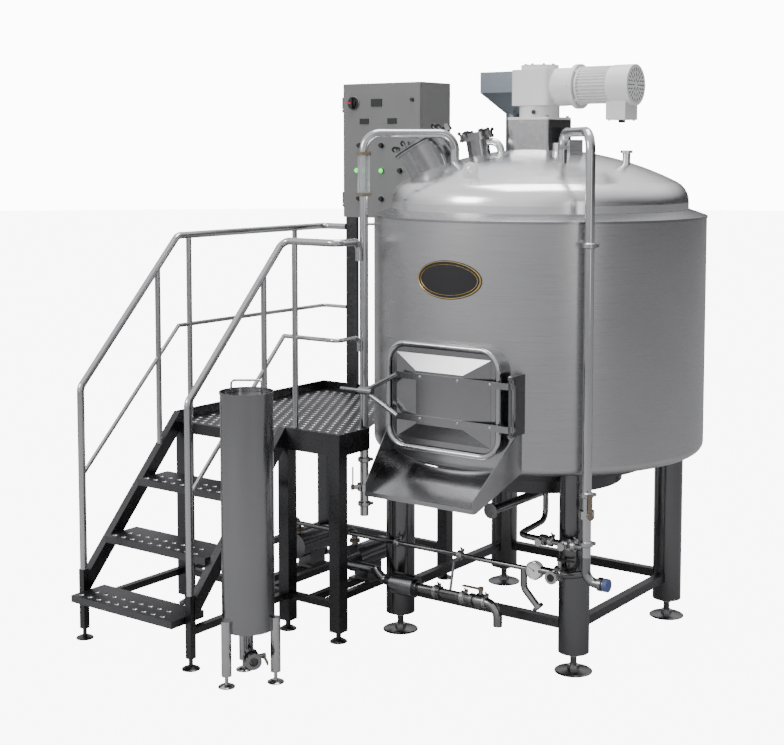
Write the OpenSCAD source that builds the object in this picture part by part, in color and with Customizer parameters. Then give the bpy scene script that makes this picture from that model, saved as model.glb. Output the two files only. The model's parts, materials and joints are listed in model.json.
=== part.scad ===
// Brewing mash house: an insulated mash tun on four legs, with a stair and
// working platform, control panel, grant, pumps and low pipework.
// Millimetres, +Z up. Every module is written from the tank's axis on the
// floor, and plant() then moves it so that the origin is the middle of the
// whole plant's footprint, on the floor. The tank's front faces -Y.

/* [Tank] */
// Outside radius of the insulated jacket
jacket_r = 961; // [800:1:1160]
// Thickness of the insulated wall, lining to cladding
wall_t = 96; // [60:1:120]
// Height of the jacket's lower edge above the floor
jacket_z = 1096; // [1060:1:1320]
// Height of the jacket's straight wall
jacket_h = 1331; // [1109:1:1600]
// Radius of the rounded lower edge of the jacket
hem_r = 48; // [20:1:60]
// Set-back of the dome's skirt from the jacket's face
skirt_in = 103; // [98:1:130]
// Rise of the sloping shoulder between jacket and skirt
shoulder_h = 47; // [30:1:70]
// Height of the dome's straight skirt
skirt_h = 41; // [20:1:80]
// Radius of the dome's knuckle
knuckle_r = 130; // [90:1:170]
// Radius of the dome's crown
crown_r = 1750; // [1500:1:2100]
// Thickness of the dome sheet
dome_t = 6; // [4:1:10]

/* [Tank legs] */
// Distance from the jacket's face in to a leg's centre line
leg_inset = 145; // [133:1:175]
// Outside diameter of a tank leg
leg_d = 168; // [140:1:202]
// Height of the ring of rails between the legs
leg_rail_z = 252; // [210:1:400]
// Side of the square rail between the legs
leg_rail_w = 50; // [30:1:70]
// Diameter of a tank foot
foot_d = 205; // [150:1:246]
// Height of the foot's stem between the floor and the leg
foot_gap = 110; // [80:1:140]

/* [Rake door] */
// Width of the door frame
door_w = 720; // [600:1:760]
// Height of the door frame
door_h = 580; // [483:1:620]
// Height of the middle of the door above the jacket's lower edge
door_up = 391; // [370:1:470]
// Corner radius of the door frame
door_corner_r = 120; // [90:1:150]
// How far the frame's mouth stands in front of the jacket
door_stand = 39; // [35:1:90]
// Thickness of the collar round the door
collar_t = 14; // [8:1:20]
// Diameter of the bead round the collar's mouth
bead_d = 30; // [24:1:40]
// Clearance round the door's cover
cover_gap = 6; // [5:1:12]
// How far the cover's raised middle stands out
cover_rise = 36; // [20:1:50]
// Height between the door's two arms
arm_pitch = 226; // [180:1:270]
// Diameter of the hinge pin
pin_d = 20; // [16:1:24]

/* [Chute] */
// Half width of the chute at the tank
chute_back_half = 417; // [370:1:440]
// Half width of the chute at its lip
chute_lip_half = 345; // [300:1:365]
// Reach of the lip in front of the jacket
chute_reach = 264; // [220:1:317]
// Drop of the pan from the tank to the lip
chute_drop = 164; // [137:1:197]
// Thickness of the chute sheet
chute_t = 4; // [3:1:6]

/* [Agitator drive] */
// Side of the square pedestal
pedestal_w = 276; // [230:1:320]
// Rise of the pedestal's top above the dome's crown
pedestal_rise = 166; // [140:1:240]
// Side of the square gearbox
gearbox_w = 246; // [205:1:276]
// Height of the gearbox body
gearbox_h = 205; // [171:1:246]
// Radius of the finned motor
motor_r = 98; // [80:1:110]
// Length of the finned motor
motor_l = 218; // [182:1:262]
// Length of the fan cowl
cowl_l = 124; // [103:1:149]

/* [Dome fittings] */
// Outside radius of the manway collar
manway_r = 150; // [125:1:165]
// Outside radius of the round port's neck
port_r = 65; // [54:1:78]
// Outside diameter of the cleaning pipes
cip_d = 51; // [38:1:60]
// Gap from the jacket's face to a cleaning pipe's centre line
cip_gap = 69; // [60:1:100]
// Distance from the axis where a cleaning pipe enters the dome
cip_in_r = 500; // [450:1:560]
// Radius of the pipes' bends
cip_bend_r = 95; // [80:1:114]
// Height of the valve on the right cleaning pipe
cip_valve_z = 918; // [820:1:1000]

/* [Platform] */
// Height of the walking surface
deck_z = 1150; // [960:1:1220]
// Width of the platform
deck_w = 1295; // [1240:1:1554]
// Distance from the jacket's side in to the platform's near right corner
deck_under = 271; // [226:1:300]
// Distance of the platform's near edge in front of the jacket
deck_ahead = 49; // [45:1:120]
// Length of the platform from its near edge to its far edge
deck_l = 1465; // [1221:1:1758]
// Height of the toe boards above the deck
toe_h = 60; // [40:1:90]
// Depth of the edge beams below the deck
beam_h = 65; // [50:1:90]
// Side of the square platform legs
post_w = 76; // [60:1:90]
// Clearance between the platform and the tank
tank_gap = 40; // [30:1:60]
// Thickness of the deck plate
deck_t = 5; // [3:1:8]

/* [Stair] */
// Going of one step
going = 262; // [255:1:300]
// Front to back depth of a tread
tread_d = 250; // [220:1:255]
// Width of the stair between its strings' centre lines
stair_w = 846; // [780:1:900]
// Depth of the rectangular strings
string_d = 76; // [63:1:91]
// Thickness of the rectangular strings
string_t = 50; // [37:1:53]

/* [Handrail] */
// Outside diameter of the top rail
rail_d = 42; // [34:1:48]
// Diameter of the middle rail
mid_rail_d = 25; // [18:1:30]
// Diameter of the posts
rail_post_d = 34; // [28:1:38]
// Height of the top rail above the deck
rail_h = 1140; // [950:1:1190]
// Height of the middle rail above the deck
mid_rail_h = 590; // [490:1:640]

/* [Control panel] */
// Width of the panel
panel_w = 631; // [530:1:757]
// Height of the panel
panel_h = 896; // [747:1:1075]
// Depth of the panel
panel_d = 350; // [292:1:420]
// Height of the panel's underside above the deck
panel_up = 1206; // [1195:1:1350]
// Thickness of the panel's folded door
panel_door_t = 22; // [16:1:30]

/* [Grant] */
// Outside radius of the grant
grant_r = 140; // [117:1:168]
// Height of the grant's underside
grant_z = 285; // [260:1:342]
// Height of the grant's body
grant_h = 1267; // [1056:1:1520]
// Gap from the grant's wall to a leg's centre line
grant_leg_out = 11; // [8:1:25]

/* [Pipework] */
// Outside diameter of the wort line
wort_d = 51; // [43:1:56]
// Outside diameter of the header
header_d = 28; // [22:1:34]
// Height of the header above the floor
header_z = 553; // [520:1:600]
// Height of the wort line above the floor
wort_z = 335; // [310:1:360]
// Height of the pumps' shafts above the floor
pump_z = 385; // [360:1:420]
// Radius of a pump's casing
pump_r = 78; // [65:1:94]

/* [Hidden] */
$fn = 64;
FRONT = -90;
TINY = 1;
weld = 3;
weld_up = 1.2;

// Tank
inner_r = jacket_r - wall_t;
jacket_top = jacket_z + jacket_h;
skirt_r = jacket_r - skirt_in;
skirt_z = jacket_top + shoulder_h;
knuckle_z = skirt_z + skirt_h;
crown_c = knuckle_z - sqrt(pow(crown_r - knuckle_r, 2) - pow(skirt_r - knuckle_r, 2));
crown_top = crown_c + crown_r;
leg_half = (jacket_r - leg_inset) / sqrt(2);

// Rake door
door_z = jacket_z + door_up;
door_front = jacket_r + door_stand;
bore_w = door_w - 2 * collar_t;
bore_h = door_h - 2 * collar_t;
door_half_angle = asin((bore_w / 2 - 30) / jacket_r);
door_hole_h = bore_h - 40;
cover_w = bore_w - (bead_d - collar_t) - 2 * cover_gap;
cover_h = bore_h - (bead_d - collar_t) - 2 * cover_gap;
cover_t = 8;
cover_y = -(door_front - 8);
arm_t = 8;
arm_y = cover_y - cover_rise - arm_t;
hinge_x = door_w / 2 + 65;
hinge_y = -door_front;
hinge_r = 16;
hinge_clear = 0.4;

// Dome fittings: azimuth and distance from the axis
manway_at = 207;
manway_in_r = 612;
manway_tilt = 29.5;
manway_l = 180;
port_at = 221;
port_in_r = 350;
port_tilt = 10;
port_l = 118;
hopper_at = 140;
hopper_in_r = 462;
hopper_w = 300;
drain_drop = 90;
drain_z = jacket_z - 285;
cip_low_z = 690;
sight_z = crown_top - 250;
sight_l = 210;
stay_z = jacket_top - 40;
lid_pin_d = 12;

// Platform and stair
deck_right = jacket_r - deck_under;
deck_left = deck_right + deck_w;
deck_near = jacket_r + deck_ahead;
deck_far = deck_l - deck_near;
rise = deck_z / 4;
string_x1 = deck_left - 25;
string_x2 = string_x1 - stair_w;
nosing_gap = 100;
edge_t = 6;
shoulder_out = 4;
stair_foot_d = 100;
stair_foot_y = deck_near + nosing_gap + 3 * going - 119;
stair_post_top = rise + 120;
stair_rail_low_z = stair_post_top + 1055;
stair_mid_low_z = stair_post_top + 545;
rail_far_y = deck_far - 25;
rail_near_y = -(deck_near - 25);
rail_z = deck_z + rail_h;
mid_rail_z = deck_z + mid_rail_h;

// Control panel
panel_x = -(deck_left - 224 - panel_w / 2);
panel_y = deck_far - 55;
panel_z = deck_z + panel_up;
stand_w = 90;
hinge_out = 11;

// Grant
grant_x = -(deck_right + 67);
grant_y = -(deck_near + 696);
grant_ring = grant_r + grant_leg_out;
grant_foot_d = 90;
grant_turn = FRONT - 8.4;
grant_out_turn = grant_turn + 60;
grant_valve_out = 78;
grant_lid_in = 30;
grant_out_z = 150;

// Pumps and low pipes
pump_x1 = -(deck_right + 640);
pump_x2 = -(deck_right + 200);
pump_y = -640;
header_y = -(leg_half + leg_d / 2 + header_d / 2 + 15);
wort_y = -(leg_half + leg_d / 2 + 78);
wort_end_x = 195;

// The plant's footprint, whose middle is the origin
front_reach = max(deck_near + nosing_gap + 3 * going,
    grant_foot_d / 2 - grant_y - grant_ring * sin(grant_turn));
centre_x = (jacket_r + shoulder_out - string_x1 - stair_foot_d / 2) / 2;
centre_y = (jacket_r + shoulder_out - front_reach) / 2;

steel = "silver";
dark_steel = "dimgray";
paint = "whitesmoke";
black = "#1a1a1a";

module plant() { translate([-centre_x, -centre_y, 0]) children(); }

module at_polar(azimuth, r, z = 0) {
    rotate([0, 0, azimuth]) translate([r, 0, z]) children();
}

// A straight round bar between two points
module rod(p, q, d) {
    v = q - p;
    l = norm(v);
    translate(p) rotate([0, acos(v.z / l), atan2(v.y, v.x)]) cylinder(d = d, h = l);
}

// A bend of a round bar at corner p, from direction u to direction v
module elbow(p, u, v, d, bend_r) {
    turn = acos(u * v);
    n = (v - (u * v) * u) / sin(turn);
    c = p - u * bend_r * tan(turn / 2) + n * bend_r;
    w = cross(-n, u);
    multmatrix([[-n.x, u.x, w.x, c.x], [-n.y, u.y, w.y, c.y], [-n.z, u.z, w.z, c.z], [0, 0, 0, 1]])
        rotate_extrude(angle = turn) translate([bend_r, 0]) circle(d = d);
}

function at_xyz(azimuth, r, z) = [r * cos(azimuth), r * sin(azimuth), z];
function unit(v) = v / norm(v);
function bend_cut(u, v, bend_r) = bend_r * tan(acos(u * v) / 2);

// A round bar along a list of points, with bends at the inner ones. A thin
// weld ring joins each straight to its bend.
module bent_bar(points, d, bend_r) {
    last = len(points) - 1;
    dirs = [for (i = [0:last - 1]) unit(points[i + 1] - points[i])];
    for (i = [0:last - 1]) {
        from = points[i] + dirs[i] * (i == 0 ? 0 : bend_cut(dirs[i - 1], dirs[i], bend_r));
        to = points[i + 1] - dirs[i] * (i == last - 1 ? 0 : bend_cut(dirs[i], dirs[i + 1], bend_r));
        rod(from + dirs[i] * (i == 0 ? 0 : weld / 4), to - dirs[i] * (i == last - 1 ? 0 : weld / 4), d);
        if (i > 0) rod(from - dirs[i] * weld / 2, from + dirs[i] * weld / 2, d + weld_up);
        if (i < last - 1) rod(to - dirs[i] * weld / 2, to + dirs[i] * weld / 2, d + weld_up);
    }
    for (i = [1:last - 1]) elbow(points[i], dirs[i - 1], dirs[i], d, bend_r);
}

// A flat outline with rounded corners, centred
module round_rect(w, h, r) {
    square([w - 2 * r, h], center = true);
    square([w, h - 2 * r], center = true);
    for (x = [-1, 1], y = [-1, 1])
        translate([x * (w / 2 - r), y * (h / 2 - r)]) circle(r = r);
}

// Stands an outline up so that it faces -Y, and gives it a depth behind y
module facing_front(y, depth, z) {
    translate([0, y + depth, z]) rotate([90, 0, 0]) linear_extrude(depth) children();
}

// A wedge of space round the tank's axis
module sector(from, to, z0, z1) {
    reach = 2 * jacket_r;
    steps = 6;
    translate([0, 0, z0]) linear_extrude(z1 - z0)
        polygon(concat([[0, 0]],
            [for (i = [0:steps]) let (a = from + (to - from) * i / steps)
                reach * [cos(a), sin(a)]]));
}

// A low round foot: disc, collar and stem up to z
module foot(d, stem_d, z) {
    rotate_extrude() polygon([[0, 0], [d / 2, 0], [d / 2, 5], [d / 2 - 6, 9],
        [stem_d, 18], [stem_d / 2, 18], [stem_d / 2, z], [0, z]]);
}

// ---- Tank ----
module jacket_wall() {
    rotate_extrude($fn = 128) {
        translate([inner_r, jacket_z + hem_r]) square([wall_t, jacket_h - hem_r]);
        translate([inner_r, jacket_z]) square([wall_t - hem_r, hem_r + TINY]);
        intersection() {
            translate([jacket_r - hem_r, jacket_z + hem_r]) circle(r = hem_r);
            translate([jacket_r - hem_r, jacket_z]) square([hem_r, hem_r + TINY]);
        }
    }
}

module jacket_segment(from, to, z0 = 0, z1 = 2 * (jacket_z + jacket_h)) {
    color(steel) intersection() { jacket_wall(); sector(from, to, z0, z1); }
}

module jacket_over_door() {
    jacket_segment(FRONT - door_half_angle, FRONT + door_half_angle,
        z0 = door_z + door_hole_h / 2);
}
module jacket_under_door() {
    jacket_segment(FRONT - door_half_angle, FRONT + door_half_angle,
        z1 = door_z - door_hole_h / 2);
}
module jacket_right() { jacket_segment(FRONT + door_half_angle, 20); }
module jacket_back() { jacket_segment(20, 160); }
module jacket_left() { jacket_segment(160, 270 - door_half_angle); }

module shoulder_ring() {
    color(steel) rotate_extrude($fn = 128) polygon([
        [skirt_r - 30, jacket_top], [jacket_r + shoulder_out, jacket_top], [jacket_r + shoulder_out, jacket_top + 12],
        [skirt_r + 8, skirt_z], [skirt_r - 30, skirt_z]]);
}

// The area under the dome's curve, inset by t
module dome_outline(t) {
    lean = asin((skirt_r - knuckle_r) / (crown_r - knuckle_r));
    far = 2 * crown_r;
    intersection() {
        union() {
            intersection() {
                translate([0, crown_c]) circle(r = crown_r - t, $fn = 256);
                polygon([[0, crown_c], [0, crown_c + far],
                    [far * tan(lean), crown_c + far]]);
            }
            translate([skirt_r - knuckle_r, knuckle_z]) circle(r = knuckle_r - t, $fn = 128);
            translate([0, skirt_z]) square([skirt_r - t, skirt_h]);
            translate([0, knuckle_z - TINY]) square([skirt_r - knuckle_r, TINY + 30]);
        }
        translate([0, skirt_z]) square([far, far]);
    }
}

module dome_solid() { rotate_extrude($fn = 128) dome_outline(0); }

module manway_frame() {
    at_polar(manway_at, manway_in_r, dome_height(manway_in_r)) rotate([0, manway_tilt, 0]) children();
}
module port_frame() {
    at_polar(port_at, port_in_r, dome_height(port_in_r)) rotate([0, port_tilt, 0]) children();
}
function dome_height(r) = crown_c + sqrt(pow(crown_r, 2) - r * r);

module dome_roof() {
    color(steel) difference() {
        rotate_extrude($fn = 128) difference() { dome_outline(0); dome_outline(dome_t); }
        manway_frame() cylinder(r = manway_r - 6, h = 300, center = true);
        port_frame() cylinder(r = port_r - 3, h = 200, center = true);
        at_polar(hopper_at, hopper_in_r, 0) cylinder(r = 45, h = 2 * crown_top);
        for (a = [-45, -135]) at_polar(a, cip_in_r, 0) cylinder(d = cip_d, h = 2 * crown_top);
        cylinder(r = 60, h = 2 * crown_top);
    }
}

module vessel_bottom() {
    low = drain_z + drain_drop;
    color(dark_steel) rotate_extrude($fn = 128) polygon([
        [0, low], [500, low], [500, jacket_z - 90], [660, jacket_z - 90], [690, jacket_z],
        [inner_r, jacket_z], [inner_r, jacket_z + 16], [680, jacket_z + 16],
        [652, jacket_z - 76], [486, jacket_z - 76], [486, low + 14], [0, low + 14]]);
}

module tank_legs() {
    color(steel) for (sx = [-1, 1], sy = [-1, 1]) translate([sx * leg_half, sy * leg_half, 0]) {
        translate([0, 0, foot_gap]) cylinder(d = leg_d, h = jacket_z - foot_gap);
        foot(foot_d, 36, foot_gap + 1);
    }
}

module leg_rails() {
    color(dark_steel) difference() {
        for (turn = [0:90:270]) rotate([0, 0, turn])
            translate([-leg_half, -leg_half - leg_rail_w / 2, leg_rail_z - leg_rail_w / 2])
                cube([2 * leg_half, leg_rail_w, leg_rail_w]);
        for (sx = [-1, 1], sy = [-1, 1])
            translate([sx * leg_half, sy * leg_half, 0]) cylinder(d = leg_d, h = jacket_z);
    }
}

// ---- Rake door ----
// A tube bent round a rounded rectangle, standing in the plane y = 0
module bead_ring(w, h, r, d) {
    for (s = [-1, 1]) {
        rod([-(w / 2 - r), 0, s * h / 2], [w / 2 - r, 0, s * h / 2], d);
        rod([s * w / 2, 0, -(h / 2 - r)], [s * w / 2, 0, h / 2 - r], d);
    }
    for (quarter = [0:3]) {
        a = 90 * quarter;
        x = (quarter == 0 || quarter == 3) ? 1 : -1;
        z = quarter < 2 ? 1 : -1;
        translate([x * (w / 2 - r), 0, z * (h / 2 - r)]) rotate([90, 0, 0])
            rotate([0, 0, a]) rotate_extrude(angle = 90) translate([r, 0]) circle(d = d);
    }
}

module door_collar() {
    mid_w = door_w - collar_t;
    mid_h = door_h - collar_t;
    color(steel) union() {
        difference() {
            facing_front(-door_front, door_front * 0.4, door_z) difference() {
                round_rect(door_w, door_h, door_corner_r);
                round_rect(bore_w, bore_h, door_corner_r - collar_t);
            }
            cylinder(r = jacket_r, h = 2 * jacket_top, $fn = 256);
        }
        translate([0, -door_front, door_z])
            bead_ring(mid_w, mid_h, door_corner_r - collar_t / 2, bead_d);
    }
}

module door_hinge() {
    plate_t = 10;
    span = arm_pitch + 90;
    color(steel) union() {
        difference() {
            translate([hinge_x - plate_t / 2, hinge_y + 45, door_z - span / 2])
                cube([plate_t, door_front, span]);
            cylinder(r = jacket_r, h = 2 * jacket_top, $fn = 256);
            translate([0, jacket_r, door_z]) cube([2 * jacket_r, 2 * jacket_r, span * 2], center = true);
        }
        for (s = [-1, 1]) translate([hinge_x, hinge_y, door_z + s * (span / 2 - 8)]) {
            cylinder(r = hinge_r, h = 16, center = true);
            translate([0, 25, 0]) cube([20, 50, 16], center = true);
        }
        translate([hinge_x, hinge_y, door_z - span / 2]) cylinder(d = pin_d, h = span);
    }
}

module rake_door_cover() {
    flat_w = cover_w * 0.45;
    flat_h = cover_h * 0.55;
    color(steel) union() {
        facing_front(cover_y, cover_t, door_z) round_rect(cover_w, cover_h, door_corner_r - 36);
        hull() {
            facing_front(cover_y - TINY, TINY, door_z) square([cover_w - 60, cover_h - 60], center = true);
            facing_front(cover_y - cover_rise, TINY, door_z) square([flat_w, flat_h], center = true);
        }
    }
}

module rake_door_arms() {
    arm_w = 34;
    bend_x = -(door_w / 2 - 75);
    grip_x = -(door_w / 2 + 110);
    color(steel) difference() {
        union() {
            for (s = [-1, 1]) {
                z = door_z + s * arm_pitch / 2;
                translate([bend_x, arm_y, z - arm_w / 2]) cube([hinge_x - bend_x, arm_t, arm_w]);
                translate([hinge_x, hinge_y, z - arm_w / 2]) cylinder(r = hinge_r, h = arm_w);
                translate([hinge_x - 10, arm_y, z - arm_w / 2])
                    cube([20, hinge_y - arm_y, arm_w]);
                rod([bend_x + 12, arm_y + arm_t / 2, z], [grip_x, arm_y + arm_t / 2, door_z + s * 12], 26);
            }
            rod([grip_x + 30, arm_y + arm_t / 2, door_z], [grip_x - 60, arm_y + arm_t / 2, door_z], 40);
            rod([grip_x - 60, arm_y + arm_t / 2, door_z], [grip_x - 190, arm_y + arm_t / 2, door_z], 18);
        }
        translate([hinge_x, hinge_y, door_z - arm_pitch])
            cylinder(d = pin_d + 2 * hinge_clear, h = 2 * arm_pitch);
    }
}

module discharge_chute() {
    back_z = door_z - door_h / 2 - 50;
    lip_y = -(jacket_r + chute_reach);
    back_y = -sqrt(pow(jacket_r, 2) - pow(chute_back_half, 2));
    run = back_y - lip_y;
    past = 60;
    slope = chute_drop / run;
    taper = atan2(chute_back_half - chute_lip_half, run);
    side_up = 260;
    lip_up = 45;
    color(steel) difference() {
        union() {
            // Pan, with a turned-down lip
            intersection() {
                translate([-jacket_r, 0, back_z]) rotate([90, 0, 90]) linear_extrude(2 * jacket_r) polygon([
                    [lip_y, -chute_drop], [back_y + past, past * slope],
                    [back_y + past, past * slope - chute_t], [lip_y + chute_t, -chute_drop - chute_t],
                    [lip_y + chute_t, -chute_drop - 24], [lip_y, -chute_drop - 24]]);
                linear_extrude(jacket_top) polygon([
                    [-chute_lip_half, lip_y], [chute_lip_half, lip_y],
                    [chute_back_half + past * tan(taper), back_y + past],
                    [-chute_back_half - past * tan(taper), back_y + past]]);
            }
            // Sides
            for (s = [-1, 1]) translate([s * chute_lip_half, lip_y, back_z]) rotate([0, 0, -s * taper])
                translate([s > 0 ? -chute_t : 0, 0, 0]) rotate([90, 0, 90])
                    linear_extrude(chute_t) polygon([
                        [0, -chute_drop - 24], [0, lip_up - chute_drop],
                        [run + past, side_up], [run + past, -chute_t], [24, -chute_drop - 24]]);
        }
        cylinder(r = jacket_r, h = 2 * jacket_top, $fn = 256);
    }
}

module name_plate() {
    plate_z = jacket_z + 1027;
    color(black) intersection() {
        difference() {
            cylinder(r = jacket_r + 5, h = 2 * jacket_top, $fn = 256);
            cylinder(r = jacket_r, h = 2 * jacket_top, $fn = 256);
        }
        translate([8, 0, plate_z]) rotate([90, 0, 0]) linear_extrude(2 * jacket_r)
            scale([1.95, 1]) circle(r = 104);
    }
}

// ---- Agitator drive ----
pedestal_top = crown_top + pedestal_rise;
motor_z = pedestal_top + 186;
gearbox_z = pedestal_top + 81;
neck_l = 125;

module pedestal() {
    window_w = pedestal_w - 60;
    color(steel) difference() {
        linear_extrude(pedestal_top) round_rect(pedestal_w, pedestal_w, 14);
        translate([0, 0, -TINY]) linear_extrude(pedestal_top - 8) round_rect(pedestal_w - 16, pedestal_w - 16, 8);
        cylinder(r = 70, h = 2 * pedestal_top);
        dome_solid();
        translate([0, 0, pedestal_top - 90]) rotate([90, 0, 90])
            linear_extrude(2 * pedestal_w, center = true) round_rect(window_w, 88, 16);
        translate([0, 0, skirt_z / 2]) cube([2 * jacket_r, 2 * jacket_r, skirt_z], center = true);
    }
}

module gearbox() {
    color(paint) union() {
        translate([0, 0, pedestal_top]) linear_extrude(14) round_rect(pedestal_w, pedestal_w, 16);
        translate([0, 0, pedestal_top]) cylinder(r = pedestal_w * 0.42, h = 90);
        translate([0, 0, gearbox_z]) linear_extrude(gearbox_h) round_rect(gearbox_w, gearbox_w, 24);
        translate([0, 0, gearbox_z + gearbox_h]) cylinder(r = gearbox_w * 0.44, h = 28);
        translate([gearbox_w / 2 - TINY, 0, motor_z]) rotate([0, 90, 0]) cylinder(r = motor_r + 10, h = neck_l + 2);
        translate([gearbox_w / 2 + neck_l, 0, motor_z]) rotate([0, 90, 0]) cylinder(r = motor_r + 29, h = 25);
    }
}

module gear_motor() {
    start = gearbox_w / 2 + neck_l + 25;
    color(paint) union() {
        translate([start, 0, motor_z]) rotate([0, 90, 0]) cylinder(r = motor_r, h = motor_l);
        translate([start + motor_l, 0, motor_z]) rotate([0, 90, 0]) cylinder(r = motor_r + 17, h = cowl_l);
        translate([start + motor_l + 37, 0, motor_z - motor_r - 42])
            cube([120, 150, 105], center = true);
    }
}

module grist_hopper() {
    foot_z = dome_height(hopper_in_r);
    top_z = crown_top + 462;
    color("slategray") at_polar(hopper_at, hopper_in_r, 0) rotate([0, 0, -hopper_at]) difference() {
        union() {
            translate([0, 0, foot_z - 60]) cylinder(r = 50, h = top_z - 230 - foot_z + 60);
            hull() {
                translate([0, 0, top_z - 250]) cylinder(r = 50, h = TINY, $fn = 32);
                translate([0, 0, top_z - 125]) linear_extrude(TINY) square(hopper_w, center = true);
            }
            translate([0, 0, top_z - 125]) linear_extrude(125) square(hopper_w, center = true);
        }
        hull() {
            translate([0, 0, top_z - 251]) cylinder(r = 45, h = TINY, $fn = 32);
            translate([0, 0, top_z - 124]) linear_extrude(TINY) square(hopper_w - 8, center = true);
        }
        translate([0, 0, top_z - 124]) linear_extrude(200) square(hopper_w - 8, center = true);
        cylinder(r = 45, h = top_z);
        rotate([0, 0, hopper_at]) translate([-hopper_in_r, 0, 0]) dome_solid();
    }
}

// ---- Dome fittings ----
module manway_collar() {
    rim = manway_r + 22;
    color(steel) difference() {
        manway_frame() union() {
            translate([0, 0, -80]) cylinder(r = manway_r, h = manway_l + 80 - 16);
            translate([0, 0, manway_l - 30]) cylinder(r = rim, h = 14);
            translate([-rim - 12, 0, manway_l - 2]) rotate([90, 0, 0]) cylinder(d = lid_pin_d, h = 110, center = true);
            for (s = [-1, 1]) translate([-rim - 12, s * 50, manway_l - 2]) {
                rotate([90, 0, 0]) cylinder(r = 12, h = 14, center = true);
                translate([-12, -7, -28]) cube([44, 14, 14]);
                translate([-12, -7, -28]) cube([24, 14, 28]);
            }
        }
        manway_frame() translate([0, 0, -100]) cylinder(r = manway_r - 6, h = manway_l + 200);
        dome_solid();
        cylinder(r = inner_r, h = skirt_z);
    }
}

module manway_lid() {
    rim = manway_r + 22;
    color(steel) manway_frame() translate([0, 0, manway_l - 15.5]) difference() {
        union() {
            cylinder(r = rim, h = 14);
            cylinder(r = manway_r - 20, h = 24);
            for (a = [-140:40:140]) rotate([0, 0, a]) translate([rim - 13, 0, 1]) {
                cylinder(r = 9, h = 42);
                translate([0, 0, 40]) rotate([90, 0, 0]) cylinder(r = 16, h = 7, center = true);
            }
            translate([-rim - 12, -40, 5]) cube([50, 80, 8]);
            translate([-rim - 12, 0, 13.5]) rotate([90, 0, 0]) cylinder(r = 12, h = 80, center = true);
        }
        translate([-rim - 12, 0, 13.5]) rotate([90, 0, 0]) cylinder(d = lid_pin_d + 2 * hinge_clear, h = 200, center = true);
    }
}

module sight_port() {
    color(steel) difference() {
        port_frame() union() {
            translate([0, 0, -40]) cylinder(r = port_r, h = port_l + 40);
            translate([0, 0, port_l - 30]) cylinder(r = port_r + 36, h = 18);
            translate([0, 0, port_l - 12]) cylinder(r = port_r + 30, h = 26);
        }
        dome_solid();
    }
}

module dome_fittings() {
    lug_r = skirt_r - 128;
    light_w = 90;
    color(steel) difference() {
        union() {
            for (a = [-90, 90]) at_polar(a, lug_r, dome_height(lug_r) + 44) {
                rotate([0, 90, 0]) cylinder(r = 44, h = 12, center = true);
                translate([-6, -44, -90]) cube([12, 88, 90]);
            }
            at_polar(5, 540, dome_height(540) - 40) cylinder(r = 22, h = 105);
            at_polar(5, 540, dome_height(540) + 60) cylinder(r = 34, h = 16);
            at_polar(-31, pedestal_w * 0.85, crown_top - 60) cylinder(r = 38, h = 92);
            at_polar(-25, pedestal_w * 1.15, crown_top - 70)
                linear_extrude(120) square(light_w, center = true);
            bent_bar([at_xyz(port_at, port_in_r + 20, crown_top + 40), [-pedestal_w / 2, -pedestal_w * 0.72, crown_top + 40],
                [-pedestal_w / 2, -pedestal_w * 0.72, crown_top - 80]], 44, 55);
        }
        dome_solid();
        for (a = [-90, 90]) at_polar(a, lug_r, dome_height(lug_r) + 44)
            rotate([0, 90, 0]) cylinder(r = 20, h = 40, center = true);
        port_frame() translate([0, 0, -40]) cylinder(r = port_r, h = port_l + 200);
        port_frame() translate([0, 0, port_l - 30.5]) cylinder(r = port_r + 49, h = 60);
    }
}

module cip_pipe(azimuth) {
    r = jacket_r + cip_gap;
    top = crown_top + 87;
    c = [cos(azimuth), sin(azimuth), 0];
    color(steel) difference() {
        union() {
            bent_bar([c * r + [0, 0, cip_low_z], c * r + [0, 0, top], c * cip_in_r + [0, 0, top],
                c * cip_in_r + [0, 0, dome_height(cip_in_r) - 30]], cip_d, cip_bend_r);
            rod([0, 0, stay_z], c * r + [0, 0, stay_z], 16);
        }
        dome_solid();
        cylinder(r = jacket_r, h = jacket_top, $fn = 256);
    }
}
module cip_pipe_left() {
    r = jacket_r + cip_gap;
    difference() {
        cip_pipe(-135);
        at_polar(-135, r, sight_z) cylinder(d = 2 * cip_d, h = sight_l);
    }
    color(steel) at_polar(-135, r, cip_valve_z - 60) valve_body(cip_d);
}
module cip_pipe_right() {
    cip_pipe(-45);
    color(steel) at_polar(-45, jacket_r + cip_gap, cip_valve_z) valve_body(cip_d);
}
module sight_glass() {
    color("aliceblue") at_polar(-135, jacket_r + cip_gap, sight_z) cylinder(d = 70, h = sight_l);
}

// ---- Platform ----
module clear_of_tank() {
    difference() {
        children();
        cylinder(r = jacket_r + tank_gap, h = 3 * deck_z, $fn = 256);
        at_polar(-135, jacket_r + cip_gap) cylinder(d = cip_d + 8, h = 3 * deck_z);
    }
}

module platform_deck() {
    color(dark_steel) clear_of_tank()
        translate([-deck_left + edge_t, -deck_near + edge_t, deck_z - deck_t])
            cube([deck_w - 2 * edge_t, deck_l - 2 * edge_t, deck_t]);
}

module platform_edge() {
    low = deck_z - beam_h;
    high = beam_h + toe_h;
    landing_x = -string_x2 + string_t / 2;
    color(dark_steel) clear_of_tank() {
        translate([-deck_left, -deck_near, low]) cube([deck_w, edge_t, beam_h]);
        translate([landing_x, -deck_near, low]) cube([-deck_right - landing_x, edge_t, high]);
        translate([-deck_left, -deck_near, low]) cube([edge_t, deck_l, high]);
        translate([-deck_left, deck_far - edge_t, low]) cube([deck_w, edge_t, high]);
        translate([-deck_right - edge_t, -deck_near, low]) cube([edge_t, deck_l, high]);
    }
}

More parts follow.
